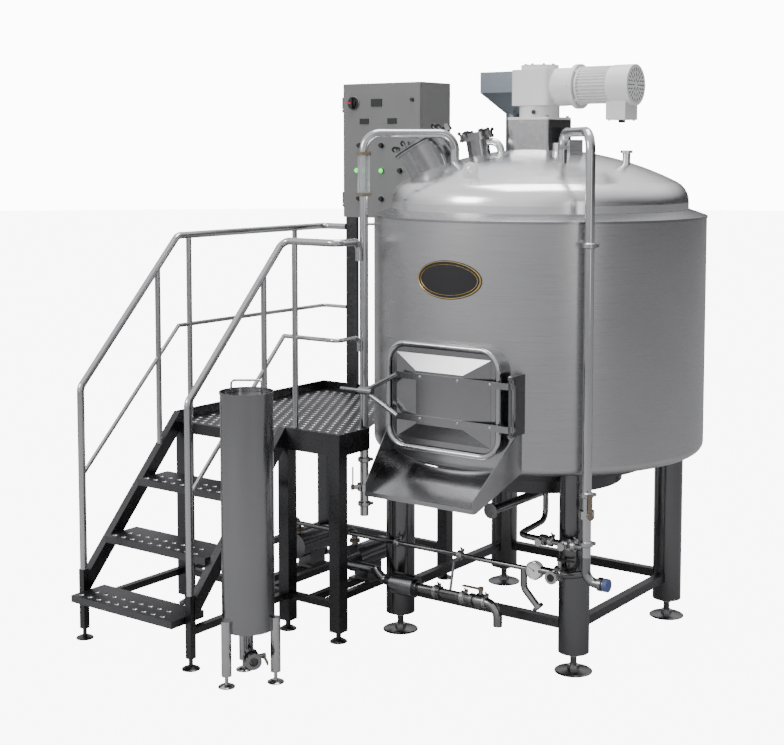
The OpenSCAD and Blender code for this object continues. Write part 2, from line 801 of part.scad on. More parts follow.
leg_xs = [-(deck_left - 8 - post_w / 2), -(deck_right + 8 + post_w / 2)];
far_right_leg_x = -(deck_right + 240);
near_leg_y = -(deck_near - 8 - post_w / 2);
far_leg_y = deck_far - 8 - post_w / 2;

function platform_leg_places() = [
    [leg_xs[0], near_leg_y], [-string_x2, near_leg_y], [leg_xs[1], near_leg_y],
    [leg_xs[0], far_leg_y], [far_right_leg_x, far_leg_y]];

module platform_legs() {
    color(dark_steel) for (p = platform_leg_places()) translate([p.x, p.y, 0]) {
        foot(100, 30, 60);
        translate([-post_w / 2, -post_w / 2, 60]) cube([post_w, post_w, deck_z - deck_t - 60]);
    }
}

module low_frame() {
    bar = 40;
    z = 190;
    rails_l = 560;
    color(dark_steel) difference() {
        union() {
            translate([leg_xs[0], near_leg_y - bar / 2, z]) cube([leg_xs[1] - leg_xs[0], bar, bar]);
            translate([leg_xs[0] - bar / 2, near_leg_y, z]) cube([bar, far_leg_y - near_leg_y, bar]);
            translate([leg_xs[0], far_leg_y - bar / 2, z]) cube([far_right_leg_x - leg_xs[0], bar, bar]);
            for (x = [pump_x1, pump_x2], s = [-1, 1])
                translate([x + s * 60 - bar / 2, near_leg_y, z]) cube([bar, rails_l, bar]);
            // Ties from the stair's feet to the platform's legs
            for (x = [-string_x1, -string_x2])
                translate([x - bar / 2, -stair_foot_y + 20, z]) cube([bar, stair_foot_y - 20 + near_leg_y, bar]);
        }
        for (p = platform_leg_places()) translate([p.x - post_w / 2, p.y - post_w / 2, 0])
            cube([post_w, post_w, deck_z]);
    }
}

// ---- Stair ----
module tread(k) {
    y = -(deck_near + nosing_gap + (4 - k) * going);
    fold = 40;
    t = 5;
    color(dark_steel) translate([-string_x1 + string_t / 2, y, k * rise - fold]) difference() {
        cube([stair_w - string_t, tread_d, fold]);
        translate([t, t, -TINY]) cube([stair_w - string_t - 2 * t, tread_d - 2 * t, fold - t + TINY]);
    }
}
module tread_1() { tread(1); }
module tread_2() { tread(2); }
module tread_3() { tread(3); }

module stair_string(x) {
    drop = 50;
    y0 = -stair_foot_y;
    slope = rise / going;
    nose_y = -(deck_near + nosing_gap + going);
    nose_z = 3 * rise - drop;
    dz = string_d / cos(atan(slope));
    top_y = -deck_near;
    color(dark_steel) {
        translate([-x - string_t / 2, 0, 0]) rotate([90, 0, 90]) linear_extrude(string_t) polygon([
            [y0 + 10, nose_z + slope * (y0 + 10 - nose_y)],
            [top_y, nose_z + slope * (top_y - nose_y)],
            [top_y, nose_z + slope * (top_y - nose_y) - dz],
            [y0 + 10, nose_z + slope * (y0 + 10 - nose_y) - dz]]);
        translate([-x - 20, y0 - 20, 60]) cube([40, 40, stair_post_top - 60]);
        translate([-x, y0, 0]) foot(stair_foot_d, 24, 61);
    }
}
module stair_strings() {
    stair_string(string_x1);
    stair_string(string_x2);
}

// ---- Handrails ----
module rail_post(x, y, z0, z1) {
    rod([x, y, z0], [x, y, z1], rail_post_d);
}

function stair_rail_z(y) = let (y0 = -stair_foot_y)
    stair_rail_low_z + (rail_z - stair_rail_low_z) * (y - y0) / (rail_near_y - y0);
// Height of the string's upper edge
function string_top_z(y) = 3 * rise - 60 + rise / going * (y + deck_near + nosing_gap + going);

module handrail_left() {
    x = -string_x1;
    stand_x = panel_x - panel_w / 2;
    low_post_y = -(deck_near + 149);
    color(steel) difference() { union() {
        bent_bar([[x, -stair_foot_y, stair_post_top], [x, -stair_foot_y, stair_rail_low_z], [x, rail_near_y, rail_z],
            [x, rail_far_y, rail_z], [stand_x, rail_far_y, rail_z]], rail_d, 60);
        rod([x, -stair_foot_y, stair_mid_low_z], [x, rail_near_y, mid_rail_z], mid_rail_d);
        bent_bar([[x, rail_near_y - 2, mid_rail_z - TINY], [x, rail_far_y, mid_rail_z],
            [stand_x, rail_far_y, mid_rail_z]], mid_rail_d, 40);
        rod([x, low_post_y, string_top_z(low_post_y)], [x, low_post_y, stair_rail_z(low_post_y)], rail_post_d);
        for (y = [-deck_near + 120, deck_far - 335]) rod([x, y, deck_z], [x, y, rail_z], rail_post_d);
    } stair_string(string_x1); }
}

module handrail_right() {
    x = -string_x2;
    end_x = -(deck_right + 30);
    low_post_y = -(deck_near + 149);
    back_y = rail_near_y + 200;
    color(steel) difference() { union() {
        bent_bar([[x, -stair_foot_y, stair_post_top], [x, -stair_foot_y, stair_rail_low_z], [x, rail_near_y, rail_z],
            [end_x, rail_near_y, rail_z], [end_x, back_y, rail_z], [end_x, back_y, rail_z - 110]], rail_d, 50);
        rod([x, -stair_foot_y, stair_mid_low_z], [x, rail_near_y, mid_rail_z], mid_rail_d);
        bent_bar([[x - 2, rail_near_y, mid_rail_z], [end_x, rail_near_y, mid_rail_z], [end_x, back_y, mid_rail_z],
            [end_x, back_y, mid_rail_z - 80]], mid_rail_d, 40);
        rod([x, low_post_y, string_top_z(low_post_y)], [x, low_post_y, stair_rail_z(low_post_y)], rail_post_d);
        rod([x + 84, rail_near_y, deck_z], [x + 84, rail_near_y, rail_z], rail_post_d);
    } stair_string(string_x2); }
}

// ---- Control panel ----
module panel_stand() {
    color(dark_steel) difference() {
        for (s = [-1, 1])
            translate([panel_x + s * (panel_w / 2 - stand_w / 2) - stand_w / 2, panel_y + panel_door_t + 3, deck_z]) {
                cube([stand_w, 26, panel_z - deck_z]);
                translate([0, -24, 0]) cube([stand_w, 50, 8]);
            }
        translate([-deck_left, deck_far - edge_t, deck_z - 1]) cube([deck_w, 2 * edge_t, toe_h + 1]);
    }
}
module panel_box() {
    t = 4;
    color(steel) translate([panel_x - panel_w / 2, panel_y + panel_door_t + 3, panel_z]) difference() {
        cube([panel_w, panel_d - panel_door_t, panel_h]);
        translate([t, -t, t]) cube([panel_w - 2 * t, panel_d - panel_door_t, panel_h - 2 * t]);
    }
    color(steel) translate([panel_x - panel_w / 2, panel_y + panel_door_t + 3, panel_z])
        for (z = [90, panel_h - 170]) translate([0, 0, z - 20.5]) {
            translate([-hinge_out, -(panel_door_t / 2 + 3), 0]) cylinder(r = 7, h = 20);
            translate([-hinge_out - 3, -(panel_door_t / 2 + 3), 0]) cube([8, 30, 20]);
            translate([-hinge_out, 4, 0]) cube([hinge_out + 2, 12, 20]);
        }
}
module panel_door() {
    color(steel) translate([panel_x - panel_w / 2, panel_y, panel_z + 1]) union() {
        difference() {
            cube([panel_w, panel_door_t, panel_h - 2]);
            translate([3, 3, 3]) cube([panel_w - 6, panel_door_t, panel_h - 8]);
        }
        for (z = [90, panel_h - 170]) translate([-hinge_out, panel_door_t / 2, z]) {
            cylinder(r = 7, h = 80);
            translate([0, -3, 0]) cube([hinge_out + 1, 6, 80]);
        }
    }
}
// Places on the panel's door: right of its left edge, and below its top
function panel_at(p) = [p.x - panel_w / 2, 0, panel_h - p.y];

module panel_controls() {
    color(black) translate([panel_x, panel_y, panel_z]) {
        translate(panel_at([90, 130])) rotate([90, 0, 0]) cylinder(r = 44, h = 12);
        translate(panel_at([280, 130]) - [44, 6, 25]) cube([88, 6, 50]);
        for (p = [[178, 252], [408, 252]]) translate(panel_at(p) - [36, 6, 18]) cube([72, 6, 36]);
        for (p = [[140, 412], [323, 412], [475, 578], [136, 766], [323, 766]])
            translate(panel_at(p)) rotate([90, 0, 0]) { cylinder(r = 19, h = 8); cylinder(r = 13, h = 24); }
        for (p = [[119, 578], [323, 578]]) translate(panel_at(p)) rotate([90, 0, 0]) cylinder(r = 15, h = 12);
        translate(panel_at([panel_w - 60, 115])) rotate([90, 0, 0]) cylinder(r = 12, h = 14);
    }
}
module isolator_knob() {
    color("red") translate([panel_x, panel_y - 12.5, panel_z] + panel_at([90, 130])) rotate([90, 0, 0]) {
        cylinder(r = 26, h = 10);
        translate([-9, -34, 8]) cube([18, 68, 16]);
    }
}

// ---- Grant ----
module grant_body() {
    color(steel) translate([grant_x, grant_y, grant_z]) difference() {
        union() {
            cylinder(r = grant_r, h = grant_h);
            translate([0, 0, grant_h - 12]) cylinder(r = grant_r + 4, h = 12);
        }
        translate([0, 0, 6]) cylinder(r = grant_r - 4, h = grant_h);
    }
    // Ring that the lid rests on
    color(steel) translate([grant_x, grant_y, grant_z + grant_h - grant_lid_in - 10.3]) difference() {
        cylinder(r = grant_r - 4, h = 10);
        translate([0, 0, -TINY]) cylinder(r = grant_r - 24, h = 12);
    }
}
module grant_lid() {
    color(steel) translate([grant_x, grant_y, grant_z + grant_h - grant_lid_in]) {
        cylinder(r = grant_r - 9, h = 6);
        rotate([0, 0, 36]) bent_bar([[-80, 0, 3], [-80, 0, 88], [80, 0, 88], [80, 0, 3]], 12, 20);
    }
}
module grant_legs() {
    color(steel) difference() {
        for (a = [0, 120, 240]) translate([grant_x, grant_y, 0]) rotate([0, 0, grant_turn + a]) translate([grant_ring, 0, 0]) {
            foot(grant_foot_d, 20, 61);
            translate([0, 0, 60]) cylinder(d = 54, h = grant_z + 70 - 60);
        }
        translate([grant_x, grant_y, grant_z]) cylinder(r = grant_r, h = grant_h);
    }
}
module grant_outlet() {
    color(steel) translate([grant_x, grant_y, grant_out_z]) rotate([0, 0, grant_out_turn]) difference() {
        union() {
            translate([0, 0, -40]) cylinder(d = wort_d, h = grant_z - grant_out_z + 40);
            translate([0, 0, -48]) cylinder(r = 32, h = 16);
            rotate([0, 90, 0]) {
                cylinder(d = wort_d, h = grant_r + 20);
                translate([0, 0, grant_r + 4]) cylinder(r = 43, h = 16);
            }
            grant_valve_place() valve_body(wort_d);
        }
        translate([100, 0, 0]) rotate([0, 90, 0]) cylinder(d = wort_d - 4, h = grant_r + 40);
    }
}
module grant_valve_place() {
    translate([grant_valve_out, 0, 0]) rotate([0, 90, 0]) rotate([0, 0, 90]) children();
}
module grant_lever() {
    color("tan") translate([grant_x, grant_y, grant_out_z]) rotate([0, 0, grant_out_turn])
        grant_valve_place() valve_lever(wort_d);
}

// ---- Pumps and pipes ----
// A butterfly valve on a pipe along z, with its stem along +x
module valve_body(d) {
    translate([0, 0, -20]) cylinder(r = d / 2 + 16, h = 40);
    rotate([0, 90, 0]) cylinder(r = 13, h = d / 2 + 34);
}
module valve_lever(d) {
    translate([d / 2 + 34.5, 0, 0]) rotate([0, 90, 0]) cylinder(r = 16, h = 18);
    translate([d / 2 + 38, -11, 0]) cube([7, 22, 118]);
}

module wort_line() {
    start = pump_y + 5;
    color(steel) difference() {
        union() {
            bent_bar([[pump_x2, start, pump_z], [pump_x2, wort_y, pump_z], [-640, wort_y, pump_z],
                [-575, wort_y, wort_z], [-499, wort_y, wort_z]], wort_d, 52);
            rod([-500, wort_y, wort_z], [-350, wort_y, wort_z], 124);
            for (x = [-516, -351]) rod([x, wort_y, wort_z], [x + 17, wort_y, wort_z], 84);
            bent_bar([[-351, wort_y, wort_z], [wort_end_x, wort_y, wort_z], [wort_end_x, wort_y, wort_z - 120]],
                wort_d, 76);
            for (x = [-200, 20]) rod([x, wort_y, wort_z], [x + 20, wort_y, wort_z], 68);
            rod([-120, wort_y, wort_z], [-120, header_y, header_z], 16);
            translate([wort_end_x - 110, wort_y, wort_z]) rotate([0, -90, 0]) valve_body(wort_d);
        }
        translate([wort_end_x, wort_y, wort_z - 121]) cylinder(d = wort_d - 4, h = 42);
        rod([-120, header_y + header_d, header_z], [-120, header_y - header_d, header_z], 3 * header_d);
        translate([-2000, header_y, header_z]) rotate([0, 90, 0]) cylinder(d = header_d, h = 4000);
        translate([pump_x2, pump_y, pump_z]) rotate([-90, 0, 0]) cylinder(r = pump_r, h = 60);
    }
}
module wort_lever() {
    color("tan") translate([wort_end_x - 110, wort_y, wort_z]) rotate([0, -90, 0]) valve_lever(wort_d);
}
module cip_lever() {
    color("tan") at_polar(-45, jacket_r + cip_gap, cip_valve_z) valve_lever(cip_d);
}
module header_line() {
    outlet_d = 38;
    drop_x = 330;
    color(steel) difference() {
        union() {
            rod([pump_x1 - 55, header_y, header_z], [350, header_y, header_z], header_d);
            for (x = [pump_x1, pump_x2])
                bent_bar([[x, pump_y + 30, pump_z], [x, pump_y + 30, header_z], [x, header_y, header_z]], outlet_d, 40);
            bent_bar([[drop_x, header_y, header_z], [drop_x, header_y, header_z - 110],
                [drop_x + 90, header_y, header_z - 200]], outlet_d, 60);
            rod([drop_x + 84, header_y, header_z - 194], [drop_x + 96, header_y, header_z - 206], 64);
        }
        rod([drop_x + 60, header_y, header_z - 170], [drop_x + 120, header_y, header_z - 230], outlet_d - 6);
        for (x = [pump_x1, pump_x2]) translate([x, pump_y, pump_z]) rotate([-90, 0, 0]) cylinder(r = pump_r, h = 60);
    }
}
module pressure_gauge() {
    color(paint) translate([400, header_y, header_z]) {
        rotate([90, 0, 0]) cylinder(r = 50, h = 32, center = true);
        translate([-50, -12, -12]) cube([20, 24, 24]);
    }
}
module drain_pipe() {
    color(dark_steel) {
        bent_bar([[66, 0, drain_z + drain_drop], [66, 0, drain_z], [66, -600, drain_z]], cip_d, 60);
        translate([66, -600, drain_z]) rotate([90, 0, 0]) cylinder(r = 43, h = 16);
    }
}

module cip_end_valve() {
    r = jacket_r + cip_gap;
    x = r * cos(45);
    color(steel) difference() {
        union() {
            bent_bar([[x, -x, cip_low_z], [x, -x, cip_low_z - 130], [x + 110, -x, cip_low_z - 130]], cip_d, 60);
            rod([x + 78, -x, cip_low_z - 130], [x + 98, -x, cip_low_z - 130], 72);
        }
    }
}

module cip_end_cap() {
    x = (jacket_r + cip_gap) * cos(45);
    color("steelblue") rod([x + 110, -x, cip_low_z - 130], [x + 134, -x, cip_low_z - 130], 70);
}

module pipe_clamps() {
    r = jacket_r + cip_gap;
    color("tan") {
        for (z = [sight_z - 22, sight_z + sight_l + 2]) at_polar(-135, r, z) difference() {
            cylinder(r = 43, h = 20);
            translate([0, 0, -TINY]) cylinder(d = cip_d, h = 40);
        }
        for (x = [pump_x1, pump_x2]) translate([x, pump_y + 30, pump_z + pump_r + 16]) difference() {
            cylinder(r = 32, h = 18);
            translate([0, 0, -TINY]) cylinder(d = 38, h = 40);
        }
    }
}

module cip_lever_left() {
    color("tan") at_polar(-135, jacket_r + cip_gap, cip_valve_z - 60) valve_lever(cip_d);
}

module pump(x) {
    motor_d = 2 * pump_r - 16;
    color(dark_steel) translate([x, pump_y, pump_z]) {
        rotate([-90, 0, 0]) cylinder(r = pump_r, h = 60);
        translate([0, 59, 0]) rotate([-90, 0, 0]) cylinder(d = motor_d, h = 250);
        translate([-80, 70, 230 - pump_z]) cube([160, 180, 12]);
        translate([-50, 90, 230 - pump_z]) cube([100, 140, pump_z - 230]);
    }
}
module pump_left() { pump(pump_x1); }
module pump_right() { pump(pump_x2); }

plant() jacket_over_door();
plant() jacket_under_door();
plant() jacket_right();
plant() jacket_back();
plant() jacket_left();
plant() shoulder_ring();
plant() dome_roof();
plant() vessel_bottom();
plant() drain_pipe();
plant() tank_legs();
plant() leg_rails();
plant() door_collar();
plant() door_hinge();
plant() rake_door_cover();
plant() rake_door_arms();
plant() discharge_chute();
plant() name_plate();
plant() pedestal();
plant() gearbox();
plant() gear_motor();
plant() grist_hopper();
plant() manway_collar();
plant() manway_lid();
plant() sight_port();
plant() dome_fittings();
plant() cip_pipe_left();
plant() cip_pipe_right();
plant() sight_glass();
plant() pipe_clamps();
plant() cip_end_valve();
plant() cip_end_cap();
plant() platform_deck();
plant() platform_edge();
plant() platform_legs();
plant() low_frame();
plant() stair_strings();
plant() tread_1();
plant() tread_2();
plant() tread_3();
plant() handrail_left();
plant() handrail_right();
plant() panel_stand();
plant() panel_box();
plant() panel_door();
plant() panel_controls();
plant() isolator_knob();
plant() grant_body();
plant() grant_lid();
plant() grant_legs();
plant() grant_outlet();
plant() grant_lever();
plant() wort_line();
plant() wort_lever();
plant() cip_lever();
plant() cip_lever_left();
plant() header_line();
plant() pressure_gauge();
plant() pump_left();
plant() pump_right();
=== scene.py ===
# %% [markdown]
# # A brewing mash house
# The plant is an insulated mash tun on four legs. A stair and a working platform stand
# at its left, with a control panel on the far edge. Around the feet are a grant (a tall
# slim vessel that levels the wort), two pumps and low pipework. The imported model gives
# every structural part. This script gives each part its finish and adds small fittings.

# %% Load the frame
import json
import math

import bmesh
import bpy
from mathutils import Matrix, Vector


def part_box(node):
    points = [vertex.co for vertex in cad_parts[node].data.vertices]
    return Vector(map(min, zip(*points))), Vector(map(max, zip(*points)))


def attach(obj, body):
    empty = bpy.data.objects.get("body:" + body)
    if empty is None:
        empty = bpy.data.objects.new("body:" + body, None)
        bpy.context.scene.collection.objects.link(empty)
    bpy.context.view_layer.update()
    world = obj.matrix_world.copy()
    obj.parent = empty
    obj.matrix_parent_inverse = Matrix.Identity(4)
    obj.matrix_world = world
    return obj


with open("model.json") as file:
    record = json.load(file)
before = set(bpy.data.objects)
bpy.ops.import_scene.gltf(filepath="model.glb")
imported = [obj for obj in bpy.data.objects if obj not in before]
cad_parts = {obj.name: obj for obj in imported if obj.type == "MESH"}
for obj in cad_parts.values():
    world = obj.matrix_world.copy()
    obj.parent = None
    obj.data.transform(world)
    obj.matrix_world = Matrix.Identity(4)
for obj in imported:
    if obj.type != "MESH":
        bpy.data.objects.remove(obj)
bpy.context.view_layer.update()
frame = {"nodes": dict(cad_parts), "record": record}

NODES = frame["nodes"]

# %% [markdown]
# The frame tells where things are. A few places are worked out once: the tank's axis and
# radius, the deck's height, and the middle of any node's box.

# %% Landmarks
UP = Vector((0, 0, 1))
FRONT = Vector((0, -1, 0))
RIGHT = Vector((1, 0, 0))


def middle(node):
    low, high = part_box(node)
    return (low + high) / 2


TANK = middle("dome_roof")
JACKET_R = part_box("jacket_back")[1].y - TANK.y
JACKET_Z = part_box("jacket_back")[0].z
JACKET_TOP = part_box("jacket_back")[1].z
DECK_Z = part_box("platform_deck")[1].z


def around_tank(azimuth, radius, z):
    a = math.radians(azimuth)
    return Vector((TANK.x + radius * math.cos(a), TANK.y + radius * math.sin(a), z))


print("tank radius %.3f m, deck at %.3f m" % (JACKET_R, DECK_Z))

# %% [markdown]
# ## Studio
# A pale floor, a pale surround and a few large soft lights show steel well: steel is
# mostly reflection, so it needs broad bright shapes and some darker ones between them.

# %% Floor
def stage_floor():
    bm = bmesh.new()
    bmesh.ops.create_circle(bm, cap_ends=True, segments=96, radius=60)
    mesh = bpy.data.meshes.new("floor")
    bm.to_mesh(mesh)
    bm.free()
    floor = bpy.data.objects.new("floor", mesh)
    bpy.context.scene.collection.objects.link(floor)
    mat = bpy.data.materials.new("pale_floor")
    mat.use_nodes = True
    tree = mat.node_tree
    shader = tree.nodes["Principled BSDF"]
    shader.inputs["Base Color"].default_value = (0.42, 0.42, 0.42, 1)
    shader.inputs["Roughness"].default_value = 0.95
    glow = tree.nodes.new("ShaderNodeEmission")
    glow.inputs["Strength"].default_value = 10.0
    rays = tree.nodes.new("ShaderNodeLightPath")
    level = tree.nodes.new("ShaderNodeMath")
    level.operation = "MULTIPLY"
    level.inputs[1].default_value = 0.86
    blend = tree.nodes.new("ShaderNodeMixShader")
    tree.links.new(rays.outputs["Is Camera Ray"], level.inputs[0])
    tree.links.new(level.outputs[0], blend.inputs["Fac"])
    tree.links.new(shader.outputs[0], blend.inputs[1])
    tree.links.new(glow.outputs[0], blend.inputs[2])
    tree.links.new(blend.outputs[0], tree.nodes["Material Output"].inputs["Surface"])
    mesh.materials.append(mat)
    return floor


stage_floor()
print("floor ready")

# %% [markdown]
# The surround is what the steel mirrors. It could be a studio picture, but three ramps on
# the direction do the same: bright in front and above, darker behind and at the right.

# %% Surround
def ramp_over(tree, value, stops):
    ramp = tree.nodes.new("ShaderNodeValToRGB")
    bar = ramp.color_ramp
    while len(bar.elements) < len(stops):
        bar.elements.new(0.5)
    for element, (where, level) in zip(bar.elements, stops):
        element.position = where
        element.color = (level, level, level * 1.01, 1)
    tree.links.new(value, ramp.inputs["Fac"])
    return ramp.outputs["Color"]


def surround():
    """Bright in front and above, dim behind and at the right: what the steel mirrors."""
    world = bpy.data.worlds.new("surround")
    bpy.context.scene.world = world
    world.use_nodes = True
    tree = world.node_tree
    mirrored = tree.nodes["Background"]
    coord = tree.nodes.new("ShaderNodeTexCoord")
    split = tree.nodes.new("ShaderNodeSeparateXYZ")
    tree.links.new(coord.outputs["Generated"], split.inputs[0])
    depth = tree.nodes.new("ShaderNodeMapRange")
    depth.inputs["From Min"].default_value = -1
    tree.links.new(split.outputs["Y"], depth.inputs["Value"])
    round_wall = ramp_over(tree, depth.outputs["Result"],
                           [(0.0, 1.05), (0.35, 0.72), (0.58, 0.40), (0.74, 0.14), (0.90, 0.06)])
    rise = ramp_over(tree, split.outputs["Z"], [(0.12, 0.0), (0.55, 1.0)])
    mix = tree.nodes.new("ShaderNodeMix")
    mix.data_type = "RGBA"
    mix.inputs["B"].default_value = (1.15, 1.15, 1.17, 1)
    tree.links.new(rise, mix.inputs["Factor"])
    tree.links.new(round_wall, mix.inputs["A"])
    right_wall = ramp_over(tree, split.outputs["X"], [(0.35, 1.0), (0.72, 0.66), (0.97, 0.25)])
    dim = tree.nodes.new("ShaderNodeMix")
    dim.data_type = "RGBA"
    dim.blend_type = "MULTIPLY"
    dim.inputs["Factor"].default_value = 1.0
    tree.links.new(mix.outputs["Result"], dim.inputs["A"])
    tree.links.new(right_wall, dim.inputs["B"])
    tree.links.new(dim.outputs["Result"], mirrored.inputs["Color"])
    seen = tree.nodes.new("ShaderNodeBackground")
    seen.inputs["Color"].default_value = (1, 1, 1, 1)
    seen.inputs["Strength"].default_value = 12.0
    rays = tree.nodes.new("ShaderNodeLightPath")
    choose = tree.nodes.new("ShaderNodeMixShader")
    tree.links.new(rays.outputs["Is Camera Ray"], choose.inputs["Fac"])
    tree.links.new(mirrored.outputs[0], choose.inputs[1])
    tree.links.new(seen.outputs[0], choose.inputs[2])
    tree.links.new(choose.outputs[0], tree.nodes["World Output"].inputs["Surface"])


surround()
print("surround: bright in front and above, dim behind and at the right")

# %% [markdown]
# Three large area lights give soft edges: a key at the front left, a weak one at the
# right, and one above that draws the bright pool on the dome.

# %% Lights
def soft_light(name, place, aim, size, power):
    data = bpy.data.lights.new(name, "AREA")
    data.shape = "RECTANGLE"
    data.size = size[0]
    data.size_y = size[1]
    data.energy = power
    lamp = bpy.data.objects.new(name, data)
    bpy.context.scene.collection.objects.link(lamp)
    lamp.location = place
    lamp.rotation_euler = (Vector(aim) - Vector(place)).to_track_quat("-Z", "Y").to_euler()


soft_light("key", (-3.0, -7.0, 5.5), (0, 0, 1.6), (3.0, 3.0), 260)
soft_light("side", (6.5, -3.5, 3.0), (0.3, 0, 1.5), (1.2, 3.5), 25)
soft_light("top", (0.3, 0.3, 7.5), (0, 0, 1.0), (3.5, 3.5), 260)
print("lights: key, side and top")

# %% [markdown]
# The camera stands back and to the right, a little above the deck, with a long lens. The
# vertical shift keeps the uprights upright.

# %% Camera
def make_camera():
    data = bpy.data.cameras.new("camera")
    camera = bpy.data.objects.new("camera", data)
    bpy.context.scene.collection.objects.link(camera)
    camera.location = TANK + Vector((4.231, -7.225, 0))
    camera.location.z = 2.813
    camera.rotation_euler = (math.radians(90 - 4.755), 0, math.radians(36.089))
    data.lens = 65.57
    data.sensor_width = 36
    data.shift_x = -0.0043
    data.shift_y = -0.133
    data.clip_end = 200
    bpy.context.scene.camera = camera
    return camera


CAMERA = make_camera()
print("camera at", [round(c, 3) for c in CAMERA.location])

# %% [markdown]
# ## Finishes
# Every finish is a small node tree on object coordinates. Fine streaks come from noise that
# is squeezed along one direction, as a belt or a roller leaves them. Broad soft noise
# varies the tone, because no rolled sheet is quite even.

# %% Material helpers
def link(tree, a, b):
    tree.links.new(a, b)


def new_material(name, colour, roughness, metallic=0.0):
    mat = bpy.data.materials.new(name)
    mat.use_nodes = True
    shader = mat.node_tree.nodes["Principled BSDF"]
    shader.inputs["Base Color"].default_value = (*colour, 1)
    shader.inputs["Roughness"].default_value = roughness
    shader.inputs["Metallic"].default_value = metallic
    return mat, mat.node_tree, shader


def noise(tree, stretch, scale, detail=4):
    coord = tree.nodes.new("ShaderNodeTexCoord")
    place = tree.nodes.new("ShaderNodeMapping")
    place.inputs["Scale"].default_value = stretch
    field = tree.nodes.new("ShaderNodeTexNoise")
    field.inputs["Scale"].default_value = scale
    field.inputs["Detail"].default_value = detail
    link(tree, coord.outputs["Object"], place.inputs["Vector"])
    link(tree, place.outputs["Vector"], field.inputs["Vector"])
    return field.outputs["Fac"]


def spread(tree, value, low, high):
    fit = tree.nodes.new("ShaderNodeMapRange")
    fit.inputs["From Min"].default_value = 0.3
    fit.inputs["From Max"].default_value = 0.7
    fit.inputs["To Min"].default_value = low
    fit.inputs["To Max"].default_value = high
    link(tree, value, fit.inputs["Value"])
    return fit.outputs["Result"]


def tint(tree, value, dark, light):
    ramp = tree.nodes.new("ShaderNodeValToRGB")
    ramp.color_ramp.elements[0].position = 0.3
    ramp.color_ramp.elements[1].position = 0.7
    ramp.color_ramp.elements[0].color = (*dark, 1)
    ramp.color_ramp.elements[1].color = (*light, 1)
    link(tree, value, ramp.inputs["Fac"])
    return ramp.outputs["Color"]


def relief(tree, shader, value, strength, depth):
    bump = tree.nodes.new("ShaderNodeBump")
    bump.inputs["Strength"].default_value = strength
    bump.inputs["Distance"].default_value = depth
    link(tree, value, bump.inputs["Height"])
    link(tree, bump.outputs["Normal"], shader.inputs["Normal"])


def shade(colour, amount):
    return tuple(max(0.0, min(1.0, c * amount)) for c in colour)


# %% Stainless steel
def stainless(name, colour, roughness, streaks, grain=0.1, uneven=0.05):
    """Steel with fine streaks in gloss and tone, and broad soft clouds."""
    mat, tree, shader = new_material(name, colour, roughness, 1.0)
    cloud = noise(tree, (1, 1, 1), 2.4, 3)
    scratch = noise(tree, streaks, 1.0, 3)
    blend = tree.nodes.new("ShaderNodeMix")
    blend.inputs["Factor"].default_value = 0.35
    link(tree, cloud, blend.inputs["A"])
    link(tree, scratch, blend.inputs["B"])
    link(tree, tint(tree, blend.outputs["Result"], shade(colour, 1 - uneven), shade(colour, 1 + uneven)),
         shader.inputs["Base Color"])
    link(tree, spread(tree, scratch, roughness * 0.85, roughness * 1.2), shader.inputs["Roughness"])
    relief(tree, shader, scratch, grain, 0.00005)
    return mat


CLADDING = stainless("brushed_cladding", (0.46, 0.46, 0.465), 0.31, (4, 4, 420), 0.25)
DOME_STEEL = stainless("spun_dome", (0.90, 0.90, 0.905), 0.22, (12, 12, 90), 0.08)
RING_STEEL = stainless("rolled_ring", (0.34, 0.34, 0.345), 0.24, (4, 4, 160), 0.12)
NECK_STEEL = stainless("turned_neck", (0.38, 0.38, 0.385), 0.20, (60, 60, 60), 0.06)
TUBE_STEEL = stainless("polished_tube", (0.52, 0.52, 0.525), 0.15, (60, 60, 20), 0.05)
# Painted shade: the low pipework takes a darker copy of the polished tube, because it sits low by the floor.
LOW_TUBE_STEEL = stainless("low_tube_painted_shade", (0.25, 0.25, 0.253), 0.17, (60, 60, 20), 0.05)
# Painted shade: the tank legs take a very dark base, standing in for the shade under the tank that they mirror.
LEG_STEEL = stainless("ground_leg_painted_shade", (0.15, 0.15, 0.153), 0.20, (260, 260, 8), 0.15)
GRANT_STEEL = stainless("ground_grant", (0.27, 0.27, 0.273), 0.20, (260, 260, 8), 0.15)
# Painted shade: the framing, the vessel's bottom, the stairs' strings and the panel's stand take a nearly black base,
# for the shade under the tank and the deck.
DULL_STEEL = stainless("frame_painted_shade", (0.085, 0.085, 0.088), 0.30, (70, 70, 70), 0.20, 0.2)
TREAD_STEEL = stainless("tread_sheet", (0.12, 0.12, 0.123), 0.34, (70, 70, 70), 0.20, 0.2)
BUTTON_STEEL = stainless("worn_button", (0.36, 0.36, 0.365), 0.28, (120, 120, 120), 0.15, 0.2)
DOOR_STEEL = stainless("door_sheet", (0.33, 0.33, 0.334), 0.19, (200, 200, 8), 0.03)
ARM_STEEL = stainless("door_arm", (0.20, 0.20, 0.203), 0.22, (12, 160, 160), 0.12)
BOLT_STEEL = stainless("bolt_steel", (0.46, 0.46, 0.46), 0.26, (250, 250, 250), 0.1)
print("stainless finishes:", CLADDING.name, DOME_STEEL.name, TUBE_STEEL.name, LEG_STEEL.name)

# %% [markdown]
# Coated surfaces are not metal to the eye. Powder coat and enamel have a faint orange
# peel, so a fine noise goes to the bump and a broad one to the colour.

# %% Paint, plastic, rubber and glass
def coated(name, colour, roughness, peel=0.1, uneven=0.03, metallic=0.0, scale=220):
    mat, tree, shader = new_material(name, colour, roughness, metallic)
    cloud = noise(tree, (1, 1, 1), 6, 3)
    skin = noise(tree, (1, 1, 1), scale, 3)
    link(tree, tint(tree, cloud, shade(colour, 1 - uneven), shade(colour, 1 + uneven)),
         shader.inputs["Base Color"])
    link(tree, spread(tree, skin, roughness * 0.9, roughness * 1.15), shader.inputs["Roughness"])
    relief(tree, shader, skin, peel, 0.0004)
    return mat


